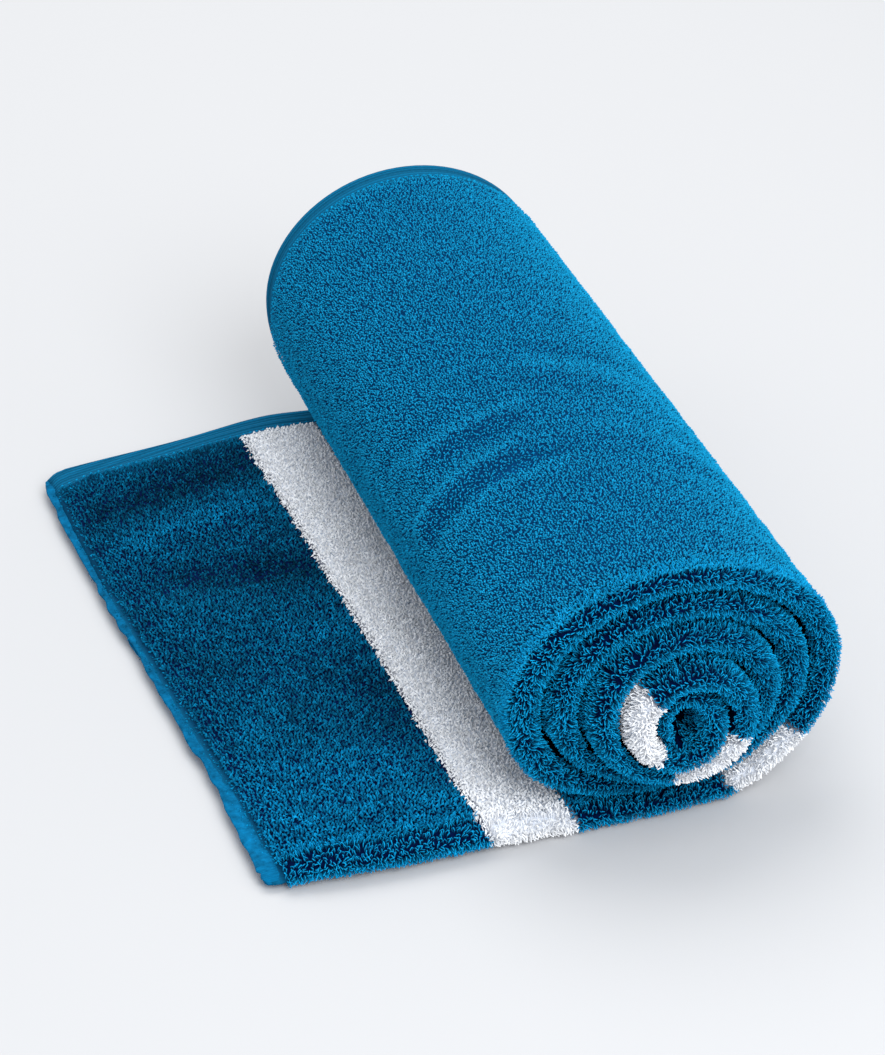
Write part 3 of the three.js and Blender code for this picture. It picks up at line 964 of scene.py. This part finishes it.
def low_loops(depth, turn, across, length, rng, props, scale, wide, sink, dip, lift=0.0):
    """Short loops over the face at that depth, length millimetres along the cloth.

    Some lie lower than others, by up to dip, and those are darkened with painted shade like the roots. All
    stand lift higher."""
    step_turn, step_across = FRAME_STEPS
    outwards = 2 * depth - 1
    place, first, second, normal = surface_frame(
        lambda t, a: cloth_point(t, a, depth), turn, across, step_turn, outwards * step_across
    )
    count = len(turn)
    angle = math.pi * rng.uniform(0, 1, count) + SWIRL * SWIRLS(length, across, SWIRL_PITCH)
    along, side = turned(first, second, angle)
    fine = FINE_MOUND * CLUMPS(length, across, FINE_MOUND_PITCH)
    mound = props.mound_height * (MOUNDS(length, across, MOUND_PITCH) + fine)
    grow = rng.uniform(*LOOP_GROW, count) * scale
    clump = ease((0.5 - 0.5 * CLUMPS(length, across, CLUMP_PITCH)) * CLUMP_GAIN - CLUMP_FROM)
    low = between(rng.uniform(0, 1, count), clump, CLUMP_SHARE) * dip
    height = mound + rng.uniform(*LOOP_RISE, count) - props.dip_depth * low + lift
    place = place + normal * (height - props.loop_width * 0.5)[:, None]
    tilt = rng.uniform(-LOOP_TILT, LOOP_TILT, count)[:, None]
    along = along * np.sqrt(1 - tilt**2) + normal * tilt
    bow = props.loop_length * LOOP_BOW * rng.uniform(-1, 1, count) * scale
    width = props.loop_width * grow * wide
    thick = props.loop_width * LOOP_THICK * grow
    sizes = (props.loop_length * grow, width, thick, sink * grow, bow)
    points, faces, tip, uv, each = short_loops(place, along, side, np.cross(along, side), *sizes)
    # Loops that lie low are darkened here: painted shade.
    return points, faces, tip * np.repeat(1 - low, each), uv, each


def ragged(length, rng):
    """Which loops are white: those rooted in a stripe, with its edge moved a little from loop to loop."""
    return whiteness(length + rng.normal(0, STRIPE_RAGGED, len(length)), 0.01)


def field(rng, length, reach, pitch):
    """Places for short loops between the fold, whose reach is given, and the side hem, and how near the fold
    each lies."""
    low = -HALF_WIDTH + reach - PILE_ON_FOLD
    high = HALF_WIDTH - HEM_WIDTH - HEM_STEP * PILE_ON_HEM_STEP
    u, v = scatter(rng, length, high - low, pitch)
    across = v + low
    return u, across, ease((low + NEAR_FOLD - across) / NEAR_FOLD_OVER)


def build_roll_pile(props):
    """The outside of the roll, in bands along the cloth so that each piece stays light."""
    rng = np.random.default_rng(ROLL_SEED)
    turns = np.linspace(ROLL_FROM, ROLL_TO, ROLL_PATH_STEPS)
    girth = path_length(cloth_point(turns, 0.0, 0.0))
    u, v, near_fold = field(rng, girth[-1], FOLD_REACH, props.loop_pitch)
    turn = np.interp(u, girth, turns)
    order = np.argsort(turn)
    colours = bpy.context.scene.towel_colours
    material = pile_material("terry loops of the roll", colours.roll_root_shaded, colours.roll_tip)
    tone = rng.uniform(-1, 1, len(u))
    white = ragged(length_at(turn), rng)
    scale = 1 + ROLL_NEAR_FOLD_GROW * near_fold
    wide = between(1.0, props.white_fullness, white)
    for n, band in enumerate(np.array_split(order, props.roll_bands)):
        t, a, length, s, w, pale = (values[band] for values in (turn, v, u, scale, wide, white))
        lift = CREASE_LIFT * np.maximum(-crease_height(t, a), 0)
        dip = props.roll_dips * (1 - pale)
        loops = low_loops(0.0, t, a, length, rng, props, s, w, props.loop_sink, dip, lift)
        loops_piece(f"pile_roll_{n + 1}", loops, pale, tone[band], material)


def build_flap_pile(props):
    """The upper side of the flap."""
    rng = np.random.default_rng(FLAP_SEED)
    stop = FLAP_LENGTH - END_HEM_SEEN + HEM_OVERLAP
    u, v, near_fold = field(rng, stop - FLAP_TOP_FROM, FLAP_FOLD_REACH, props.flap_pitch)
    along = u + FLAP_TOP_FROM
    turn = -along / MM_A_TURN
    keep = v < inner_edge_at(turn) - hem_width_at(turn) - HEM_STEP * PILE_ON_HEM_STEP
    keep &= along < FLAP_LENGTH - hem_seen(v) + HEM_OVERLAP
    turn, v, along, near_fold = (values[keep] for values in (turn, v, along, near_fold))
    white = ragged(FLAP_LENGTH - along, rng)
    scale = between(props.flap_loop_size, FLAP_WHITE_SCALE, white) + FLAP_NEAR_FOLD_GROW * near_fold
    wide = between(props.flap_loop_width, props.white_fullness, white)
    sink = between(props.flap_loop_sink, props.loop_sink, white)
    dip = between(props.flap_dips, props.roll_dips, white)
    loops = low_loops(1.0, turn, v, along, rng, props, scale, wide, sink, dip)
    x, y = np.moveaxis(cloth_point(turn, v, 1.0)[:, :2], 1, 0)
    # Partly painted shade: the flap's blue loops darken away from the fold, which also stands for their more
    # open pile.
    shade = between(SHADE_NEAR, SHADE_FAR, ease((v - SHADE_FROM) / SHADE_OVER))
    # Troughs of the swells get painted shade, rises painted light.
    shade = shade + SHADE_SWELL * swell_height(x, y)
    patches = SHADE_PATCHES * CLUMPS(along, v, SHADE_PATCH_PITCH)
    # White loops take SHADE_STRIPE, painted shade; blue ones take the painted shading above and the random
    # patches.
    tone = rng.uniform(-1, 1, len(turn)) + between(shade + patches, SHADE_STRIPE, white)
    loops_piece("pile_flap", loops, white, tone, pile_material())


def build_stitches():
    """The seam of the side hems: small stitches along the roll's outside and the flap's upper side."""
    rng = np.random.default_rng(SEAM_SEED)
    step_turn, step_across = SEAM_FRAME_STEPS
    roll = np.arange(ROLL_FROM * MM_A_TURN, ROLL_TO * MM_A_TURN, SEAM_PITCH) / MM_A_TURN
    flap = -np.arange(FLAP_TOP_FROM, FLAP_LENGTH - END_HEM_WIDE, SEAM_PITCH) / MM_A_TURN
    frames = []
    for turn, outwards, edge in ((roll, -1, HALF_WIDTH), (flap, 1, inner_edge_at(flap))):
        across = edge - hem_width_at(turn) + SEAM_IN + rng.uniform(-SEAM_LOOSE, SEAM_LOOSE, len(turn))
        steps = (step_turn, outwards * step_across)
        face = 0.5 + outwards * (0.5 - HEM_DEPTH)
        frames.append(surface_frame(lambda t, a: cloth_point(t, a, face), turn, across, *steps))
    place, along, side, normal = (np.concatenate([frame[k] for frame in frames]) for k in range(4))
    one = np.ones(len(place))
    sizes = (size * one for size in SEAM_STITCH)
    loops = short_loops(place, along, side, normal, *sizes, rng.uniform(-SEAM_BOW, SEAM_BOW, len(place)))
    loops_piece("hem_stitches", loops, 0 * one, -one, pile_material())


def fold_point(turn, q):
    """A point of the rounded fold's face. q runs along it in millimetres: 0 where the outer layer starts to
    turn in, and the arc's length where the inner one begins. Before and after it lies on the flat layers."""
    reach = fold_reach_at(turn)
    mean = fold_mean(turn)
    angle = np.clip(q / mean, 0, math.pi)
    before, after = np.maximum(-q, 0), np.maximum(q - math.pi * mean, 0)
    across = -HALF_WIDTH + reach - reach * np.sin(angle) + before + after
    depth = 0.5 - 0.5 * np.cos(angle)
    return cloth_point(turn, across, hemmed_depth(turn, depth))


def fold_pile_limits(turn, props):
    """Where the long loops start and end along the fold's face, in millimetres before and after its round.

    They go as far as the next turn outwards or inwards leaves them in sight."""
    later = np.maximum(turn, 0)
    arc = math.pi * fold_mean(turn)
    proud = np.clip(column("out", later) - column("out", np.maximum(later - 1, 0)), 0, MOST_PROUD)
    outer_gap = np.maximum(column("air", np.maximum(later - 1, 0)) - GAP_AIR, 0) * GAP_REACH
    inner_gap = np.maximum(column("air", later) - GAP_AIR, 0) * GAP_REACH
    bare = np.clip(column("out", later) - column("out", later + 1), 0, MOST_BARE)
    before = np.where(later < 1, props.fold_pile_start, PROUD_FROM + proud + outer_gap)
    before = np.where(turn < 0, FOLD_PAST, before)
    under = between(bare + FOLD_PAST, FOLD_PAST, ease((flap_along(turn) - FLAP_TOP_FROM) / FLAP_UNDER_OVER))
    after = np.where(turn < 0, under, np.where(bare > BARE_FROM, bare, -ARC_HIDDEN * arc) + inner_gap)
    core = INNER_END_TURN - CORE_TURNS
    after = np.where(turn > core, props.core_pile * ease((turn - core) / CORE_FADE), after)
    return before, arc + after


def build_fold_loops(props):
    """Longer loops that fan out round the folded edge, from the flap's corner in to the roll's middle."""
    rng = np.random.default_rng(FOLD_SEED)
    start = END_HEM_WIDE + FOLD_PILE_FROM
    total = CLOTH_LENGTH - start - FOLD_PILE_TO_END
    u, v = scatter(rng, total, props.fold_pile_width, props.fold_pitch)
    turn = turn_at(u + start)
    before, until = fold_pile_limits(turn, props)
    q = v - before
    keep = q < until
    turn, q, u = turn[keep], q[keep], u[keep]
    count = len(u)
    place, first, second, normal = surface_frame(fold_point, turn, q, *FRAME_STEPS)
    swirl = FOLD_SWIRL * SWIRLS(u, q, FOLD_SWIRL_PITCH)
    angle = math.pi * rng.uniform(0, 1, count) + swirl
    along, side = turned(first, second, angle)
    drift = DRIFTS(u, q, DRIFT_PITCH) * props.fold_drift
    sway = SWAYS(u, q, DRIFT_PITCH) * props.fold_drift
    lean_along = drift * np.cos(angle) + sway * np.sin(angle) + rng.normal(0, LOOP_LEAN, count)
    lean_side = sway * np.cos(angle) - drift * np.sin(angle) + rng.normal(0, LOOP_LEAN, count)
    grow = rng.uniform(*FOLD_GROW, count)
    clumps = 1 + props.fold_unevenness * CLUMPS(u, q, FOLD_CLUMP_PITCH)
    sink = between(props.fold_loop_roots, props.pile_height, ease(-q / FOLD_BLEND))
    root = place - normal * sink[:, None]
    height = props.fold_loop_height * clumps * grow * sink / props.fold_loop_roots
    width = props.fold_loop_width * grow
    white = ragged(u + start, rng)
    yarn = props.yarn * rng.uniform(*YARN_GROW, count) * between(1.0, props.white_fullness, white)
    tone = rng.uniform(-1, 1, count) + SHADE_FOLD * (1 - white)
    material = pile_material()
    values = (root, along, side, normal, width, height, yarn, lean_along, lean_side)
    for n, part in enumerate(np.array_split(np.arange(count), props.fold_bands)):
        loops = tall_loops(*(value[part] for value in values))
        loops_piece(f"pile_fold_{n + 1}", loops, white[part], tone[part], material)


# Materials.


class Finish:
    """A node material, made again from nothing on each run."""

    def __init__(self, name):
        self.material = bpy.data.materials.get(name) or bpy.data.materials.new(name)
        self.material.use_nodes = True
        self.tree = self.material.node_tree
        self.tree.nodes.clear()

    def node(self, kind, inputs, output=0, **settings):
        """The output of a new node. Each input is linked to another output, or set to a number or colour."""
        node = self.tree.nodes.new("ShaderNode" + kind)
        for key, value in settings.items():
            setattr(node, key, value)
        for socket, value in inputs.items():
            if hasattr(value, "links"):
                self.tree.links.new(value, node.inputs[socket])
            else:
                node.inputs[socket].default_value = value
        return node.outputs[output]

    def attribute(self, name):
        """A value that is stored on the mesh."""
        return self.node("Attribute", {}, "Fac", attribute_name=name)

    def place(self):
        """The place on the cloth, along and across it."""
        return self.node("CombineXYZ", {0: self.attribute("along"), 1: self.attribute("across")})

    def mix(self, factor, first, second):
        """From the first colour to the second by a factor. Colours are outputs or three numbers."""
        first, second = (value if hasattr(value, "links") else (*value, 1) for value in (first, second))
        return self.node("Mix", {0: factor, 6: first, 7: second}, 2, data_type="RGBA")

    def maths(self, operation, *values, clamp=False):
        """One sum of outputs or numbers."""
        return self.node("Math", dict(enumerate(values)), operation=operation, use_clamp=clamp)

    def scaled(self, value, gain, start):
        """value gain + start."""
        return self.maths("MULTIPLY_ADD", value, gain, start)

    def brightened(self, colour, light):
        """The colour, its brightness multiplied by light."""
        return self.node("HueSaturation", {"Color": colour, "Value": light})

    def bump(self, height, strength, distance):
        """Normals tilted by a height that varies over the surface."""
        return self.node("Bump", {"Height": height, "Strength": strength, "Distance": distance}, "Normal")

    def matt(self, colour, roughness=0.92, specular=0.04, **more):
        """Ends in a matt shader, and gives the material."""
        inputs = {"Base Color": colour, "Roughness": roughness, "Specular IOR Level": specular, **more}
        output = self.tree.nodes.new("ShaderNodeOutputMaterial")
        self.tree.links.new(self.node("BsdfPrincipled", inputs), output.inputs["Surface"])
        return self.material


def pile_material(name="terry loops", root=None, top=None):
    """Loops: dark at the root and bright at the tip, blue or white, each a little lighter or darker. The dark
    of the roots is painted shade, as is that of the loops that lie low.
    """
    colours = bpy.context.scene.towel_colours
    finish = Finish(name)
    tip = finish.attribute("tip")
    blue = finish.mix(tip, root or colours.blue_root_shaded, top or colours.blue_tip)
    pale = finish.mix(tip, colours.white_root_shaded, colours.white_tip)
    colour = finish.mix(finish.attribute("white"), blue, pale)
    return finish.matt(finish.brightened(colour, finish.scaled(finish.attribute("tone"), colours.tone, 1.0)))


def cloth_material():
    """The ground under the loops, dark with painted shade and knobbly, and the smooth side hems with their
    fine lines, which have painted shade in their grooves.
    """
    colours = bpy.context.scene.towel_colours
    finish = Finish("terry ground")
    white, hem, place = finish.attribute("white"), finish.attribute("hem"), finish.place()
    knobs = finish.node("TexVoronoi", {"Vector": place, "Scale": KNOB_SCALE}, "Distance")
    weave = finish.node("TexNoise", {"Vector": place, "Scale": GROUND_WEAVE_SCALE, "Detail": 2}, "Fac")
    knobs = finish.maths("MULTIPLY", knobs, KNOB_GAIN, clamp=True)
    lit = finish.maths("SUBTRACT", 1.0, knobs, clamp=True)
    # The ground's root and ground colours are painted shade of the bottom of the pile, mixed by the knobs.
    dark = finish.mix(lit, colours.blue_root_shaded, colours.blue_ground_shaded)
    blue = finish.mix(finish.attribute("outside"), dark, colours.roll_root_shaded)
    pale = finish.mix(lit, colours.white_root_shaded, colours.white_ground_shaded)
    # The fine lines darken the side hems where their bump is low: painted shade in the grooves.
    waves = finish.maths("MULTIPLY", finish.attribute("across"), FULL_TURN / HEM_LINE_M)
    lines = finish.maths("MULTIPLY", finish.maths("SINE", waves), finish.attribute("side"))
    grain = finish.scaled(weave, *SIDE_HEM_GRAIN)
    hem_colour = finish.mix(white, colours.side_hem, colours.white_tip)
    hem_colour = finish.brightened(hem_colour, finish.scaled(lines, SIDE_HEM_LINES, grain))
    colour = finish.mix(hem, finish.mix(white, blue, pale), hem_colour)
    height = finish.mix(hem, lit, finish.scaled(lines, SIDE_HEM_RELIEF, grain))
    return finish.matt(colour, Normal=finish.bump(height, *GROUND_BUMP))


def hem_material():
    """The end hem: smooth mottled blue with a fine weave, painted lighter near the fold: painted light."""
    colours = bpy.context.scene.towel_colours
    finish = Finish("terry end hem")
    place = finish.place()
    weave = finish.node("TexNoise", {"Vector": place, "Scale": END_HEM_WEAVE_SCALE, "Detail": 3}, "Fac")
    mottle = finish.node("TexNoise", {"Vector": place, "Scale": END_HEM_MOTTLE_SCALE}, "Fac")
    grain = finish.scaled(weave, END_HEM_WEAVE_GAIN, finish.scaled(mottle, *END_HEM_MOTTLE))
    light = finish.maths("MULTIPLY", grain, finish.scaled(finish.attribute("near"), *END_HEM_NEAR_LIGHT))
    colour = finish.brightened((*colours.end_hem, 1), light)
    return finish.matt(colour, Normal=finish.bump(weave, *END_HEM_BUMP))


# Camera, lights and floor.


def add_to_stage(name, data, at=(0, 0, 0), look=None):
    """A new object of the stage, in place of an earlier one, turned to look along a direction if given."""
    clear(name)
    thing = bpy.data.objects.new(name, data)
    thing.location = at
    if look is not None:
        thing.rotation_euler = look.to_track_quat("-Z", "Y").to_euler()
    bpy.context.scene.collection.objects.link(thing)
    return thing


def build_camera():
    """The camera of the photo: at CAMERA_AT, looking along (sin a cos e, cos a cos e, -sin e)."""
    data = bpy.data.cameras.new("towel_camera")
    data.lens = LENS_MM
    data.sensor_width = SENSOR_MM
    data.clip_start, data.clip_end = CAMERA_CLIP
    a, e = CAMERA_AZIMUTH, CAMERA_TILT
    look = Vector((math.sin(a) * math.cos(e), math.cos(a) * math.cos(e), -math.sin(e)))
    bpy.context.scene.camera = add_to_stage("towel_camera", data, CAMERA_AT, look)


def area_light(name, at, size, power, colour):
    """A round lamp turned to LIT_AT."""
    data = bpy.data.lights.new(name, "AREA")
    data.shape = "DISK"
    data.size = size
    data.energy = power
    data.color = colour
    add_to_stage(name, data, at, Vector(LIT_AT) - Vector(at))


def build_stage(studio):
    """The camera, the floor just under the towel, two lamps and an even light all round."""
    build_camera()
    mesh = bpy.data.meshes.new("studio_floor")
    half, drop = studio.floor_size / 2, studio.floor_drop
    corners = [(-half, -half, -drop), (half, -half, -drop), (half, half, -drop), (-half, half, -drop)]
    mesh.from_pydata(corners, [], [(0, 1, 2, 3)])
    floor = Finish("pale studio floor")
    mesh.materials.append(floor.matt((*studio.floor_colour, 1), roughness=0.9, specular=0.0))
    add_to_stage("studio_floor", mesh)
    area_light("key_light", KEY_AT, studio.key_size, studio.key_power, KEY_COLOUR)
    area_light("near_light", NEAR_AT, NEAR_SIZE, studio.near_power, NEAR_COLOUR)
    world = bpy.data.worlds.get("studio world") or bpy.data.worlds.new("studio world")
    world.use_nodes = True
    background = world.node_tree.nodes["Background"]
    background.inputs[0].default_value = (*studio.sky_colour, 1)
    background.inputs[1].default_value = studio.sky_strength
    bpy.context.scene.world = world
    bpy.context.scene.view_settings.view_transform = "Standard"
    bpy.context.scene.view_settings.look = "None"


# Properties, operators and panel.


def number(name, description, default, **more):
    """A size or a share that can be changed."""
    return bpy.props.FloatProperty(name=name, description=description, default=default, min=0.0, **more)


def bands(name, description, default):
    """A number of pieces."""
    return bpy.props.IntProperty(name=name, description=description, default=default, min=1)


def colour_prop(name, description, default):
    """A colour that can be changed."""
    return bpy.props.FloatVectorProperty(
        name=name, description=description, default=default, size=3, subtype="COLOR", min=0.0, max=1.0
    )


class TowelSizes(bpy.types.PropertyGroup):
    """Sizes of the pile and the hems, in millimetres or as shares."""

    pile_height: number("Pile height", "From the ground of the cloth to the tips of its loops, mm", 1.6)
    loop_pitch: number("Loop pitch", "Distance between the loops of the roll, mm", 1.42)
    loop_length: number("Loop length", "Length of a loop seen from above, mm", 2.0)
    loop_width: number("Loop width", "Width of a loop, mm", 0.68)
    loop_sink: number("Loop sink", "How far a loop's ends lie under its middle, mm", 0.75)
    mound_height: number("Mound height", "Unevenness of the pile, mm", 0.35)
    dip_depth: number("Dip depth", "How far the lowest loops lie under the highest, mm", 0.7)
    roll_dips: number("Roll dips", "Unevenness of the roll's loops, as a share", 0.3)
    roll_bands: bands("Bands of the roll", "Pieces that the roll's pile is made in", 3)
    flap_pitch: number("Flap loop pitch", "Distance between the loops of the flap, mm", 1.55)
    flap_loop_size: number("Flap loop size", "Size of the flap's blue loops as a share of the roll's", 1.4)
    flap_loop_width: number("Flap loop width", "Width of the flap's loops as a share of the roll's", 0.92)
    flap_loop_sink: number("Flap loop sink", "How far the ends of the flap's loops lie under, mm", 0.9)
    flap_dips: number("Flap dips", "Unevenness of the flap's loops, as a share", 0.8)
    white_fullness: number("White fullness", "Width of the white loops as a share of the blue", 1.3)
    fold_pitch: number("Fold loop pitch", "Distance between the loops round the fold, mm", 1.8)
    fold_pile_width: number("Fold pile width", "Widest strip of longer loops round the fold, mm", 44.0)
    fold_pile_start: number("Fold pile start", "How far the longer loops reach on to the roll, mm", 5.0)
    fold_loop_roots: number("Fold loop roots", "Depth of the roots of the loops round the fold, mm", 2.4)
    fold_loop_height: number("Fold loop height", "Height of a loop round the fold, mm", 3.0)
    fold_loop_width: number("Fold loop width", "Width of a loop round the fold, mm", 1.55)
    fold_unevenness: number("Fold loop unevenness", "Share by which these loops rise and fall", 0.16)
    fold_drift: number("Fold loop drift", "How far clumps of these loops lean, as a share", 0.4)
    fold_bands: bands("Bands of the fold", "Pieces that the fold's pile is made in", 2)
    core_pile: number("Core pile", "How far loops reach into the roll's middle, mm", 14.0)
    yarn: number("Yarn", "Thickness of the yarn of a loop, mm", 0.44)
    hem_scallop: number("Hem scallop", "Rise and fall of the end hem's edge, mm", 1.5)
    hem_scallop_pitch: number("Hem scallop pitch", "Distance between the waves of the end hem, mm", 8.0)


class TowelColours(bpy.types.PropertyGroup):
    """Colours of the cotton."""

    blue_tip: colour_prop("Blue tip", "Blue loops at their tips", (0.005, 0.46, 0.89))
    # The root colours are the cotton's colours darkened by painted shade of the gaps between loops.
    blue_root_shaded: colour_prop("Blue root", "Blue loops at their roots", (0.0002, 0.007, 0.055))
    # The ground colours are dark with painted shade of the bottom of the pile.
    blue_ground_shaded: colour_prop("Blue ground", "Blue ground cloth", (0.0001, 0.004, 0.02))
    roll_root_shaded: colour_prop("Roll root", "Blue loops of the roll's outside at the root", (0.0007, 0.045, 0.14))
    roll_tip: colour_prop("Roll tip", "Blue loops of the roll's outside at the tip", (0.009, 0.42, 0.75))
    white_tip: colour_prop("White tip", "White loops at their tips", (0.95, 0.96, 0.97))
    white_root_shaded: colour_prop("White root", "White loops at their roots", (0.9, 0.92, 0.96))
    white_ground_shaded: colour_prop("White ground", "White ground cloth", (0.62, 0.68, 0.78))
    side_hem: colour_prop("Side hem", "Woven side hems", (0.003, 0.107, 0.222))
    end_hem: colour_prop("End hem", "Woven end hem", (0.002, 0.16, 0.355))
    tone: number("Loop tone", "Change of tone from loop to loop, as a share", 0.18)


class StudioSettings(bpy.types.PropertyGroup):
    """Floor and light."""

    floor_size: number("Floor size", "Side of the floor", 12.0, unit="LENGTH")
    floor_drop: number("Floor drop", "Gap under the towel", 0.0002, unit="LENGTH")
    floor_colour: colour_prop("Floor colour", "Pale floor", (0.6, 0.605, 0.617))
    key_power: number("Key light", "Power of the key light, behind and above, W", 23.0)
    key_size: number("Key size", "Width of the key light", 1.8, unit="LENGTH")
    near_power: number("Near light", "Power of the light on the camera's side, W", 27.0)
    sky_strength: number("Sky", "Strength of the light all round", 0.8)
    sky_colour: colour_prop("Sky colour", "Colour of the light all round", (0.95, 0.97, 1.0))


class TOWEL_OT_cloth(bpy.types.Operator):
    """Makes the sheet of cloth, rolled, with its side hems"""

    bl_idname = "towel.cloth"
    bl_label = "Cloth"

    def execute(self, context):
        clear("towel_cloth")
        build_sheet(context.scene.towel_sizes)
        return {"FINISHED"}


class TOWEL_OT_end_hem(bpy.types.Operator):
    """Makes the hem of the flap's end"""

    bl_idname = "towel.end_hem"
    bl_label = "End hem"

    def execute(self, context):
        clear("towel_end_hem")
        build_end_hem(context.scene.towel_sizes)
        return {"FINISHED"}


class TOWEL_OT_pile(bpy.types.Operator):
    """Makes the loops of the roll, the flap and the folded edge, and the stitches of the side hems"""

    bl_idname = "towel.pile"
    bl_label = "Loop pile"

    def execute(self, context):
        clear("pile_", "hem_")
        for build in (build_roll_pile, build_flap_pile, build_fold_loops):
            build(context.scene.towel_sizes)
        build_stitches()
        return {"FINISHED"}


class TOWEL_OT_declare(bpy.types.Operator):
    """Hides the solid that the cloth with its hem and loops stands for, once the cloth is made"""

    bl_idname = "towel.declare"
    bl_label = "Declare the sheet"

    def execute(self, context):
        cloth = bpy.data.objects.get("towel_cloth")
        if cloth is None:
            raise RuntimeError("make the cloth first")
        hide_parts(NODE)
        return {"FINISHED"}


class TOWEL_OT_stage(bpy.types.Operator):
    """Makes the camera, the floor and the lights"""

    bl_idname = "towel.stage"
    bl_label = "Stage"

    def execute(self, context):
        build_stage(context.scene.towel_studio)
        return {"FINISHED"}


class TOWEL_PT_panel(bpy.types.Panel):
    """Lists the steps and the settings"""

    bl_idname = "TOWEL_PT_panel"
    bl_label = "Rolled bath towel"
    bl_space_type = "VIEW_3D"
    bl_region_type = "UI"
    bl_category = "Towel"

    def draw(self, context):
        for operator in OPERATORS:
            self.layout.operator(operator.bl_idname)
        for group in (context.scene.towel_sizes, context.scene.towel_colours, context.scene.towel_studio):
            for key in group.bl_rna.properties.keys():
                if key not in ("rna_type", "name"):
                    self.layout.prop(group, key)


OPERATORS = (TOWEL_OT_stage, TOWEL_OT_cloth, TOWEL_OT_end_hem, TOWEL_OT_pile, TOWEL_OT_declare)
GROUPS = (("towel_sizes", TowelSizes), ("towel_colours", TowelColours), ("towel_studio", StudioSettings))


def register():
    for key, group in GROUPS:
        bpy.utils.register_class(group)
        setattr(bpy.types.Scene, key, bpy.props.PointerProperty(type=group))
    for item in (*OPERATORS, TOWEL_PT_panel):
        bpy.utils.register_class(item)


def unregister():
    for item in reversed((*OPERATORS, TOWEL_PT_panel)):
        bpy.utils.unregister_class(item)
    for key, group in reversed(GROUPS):
        delattr(bpy.types.Scene, key)
        bpy.utils.unregister_class(group)


def main():
    """Makes the scene step by step."""
    register()
    bpy.ops.towel.stage()
    bpy.ops.towel.cloth()
    bpy.ops.towel.end_hem()
    bpy.ops.towel.pile()
    bpy.ops.towel.declare()


if __name__ == "__main__":
    main()
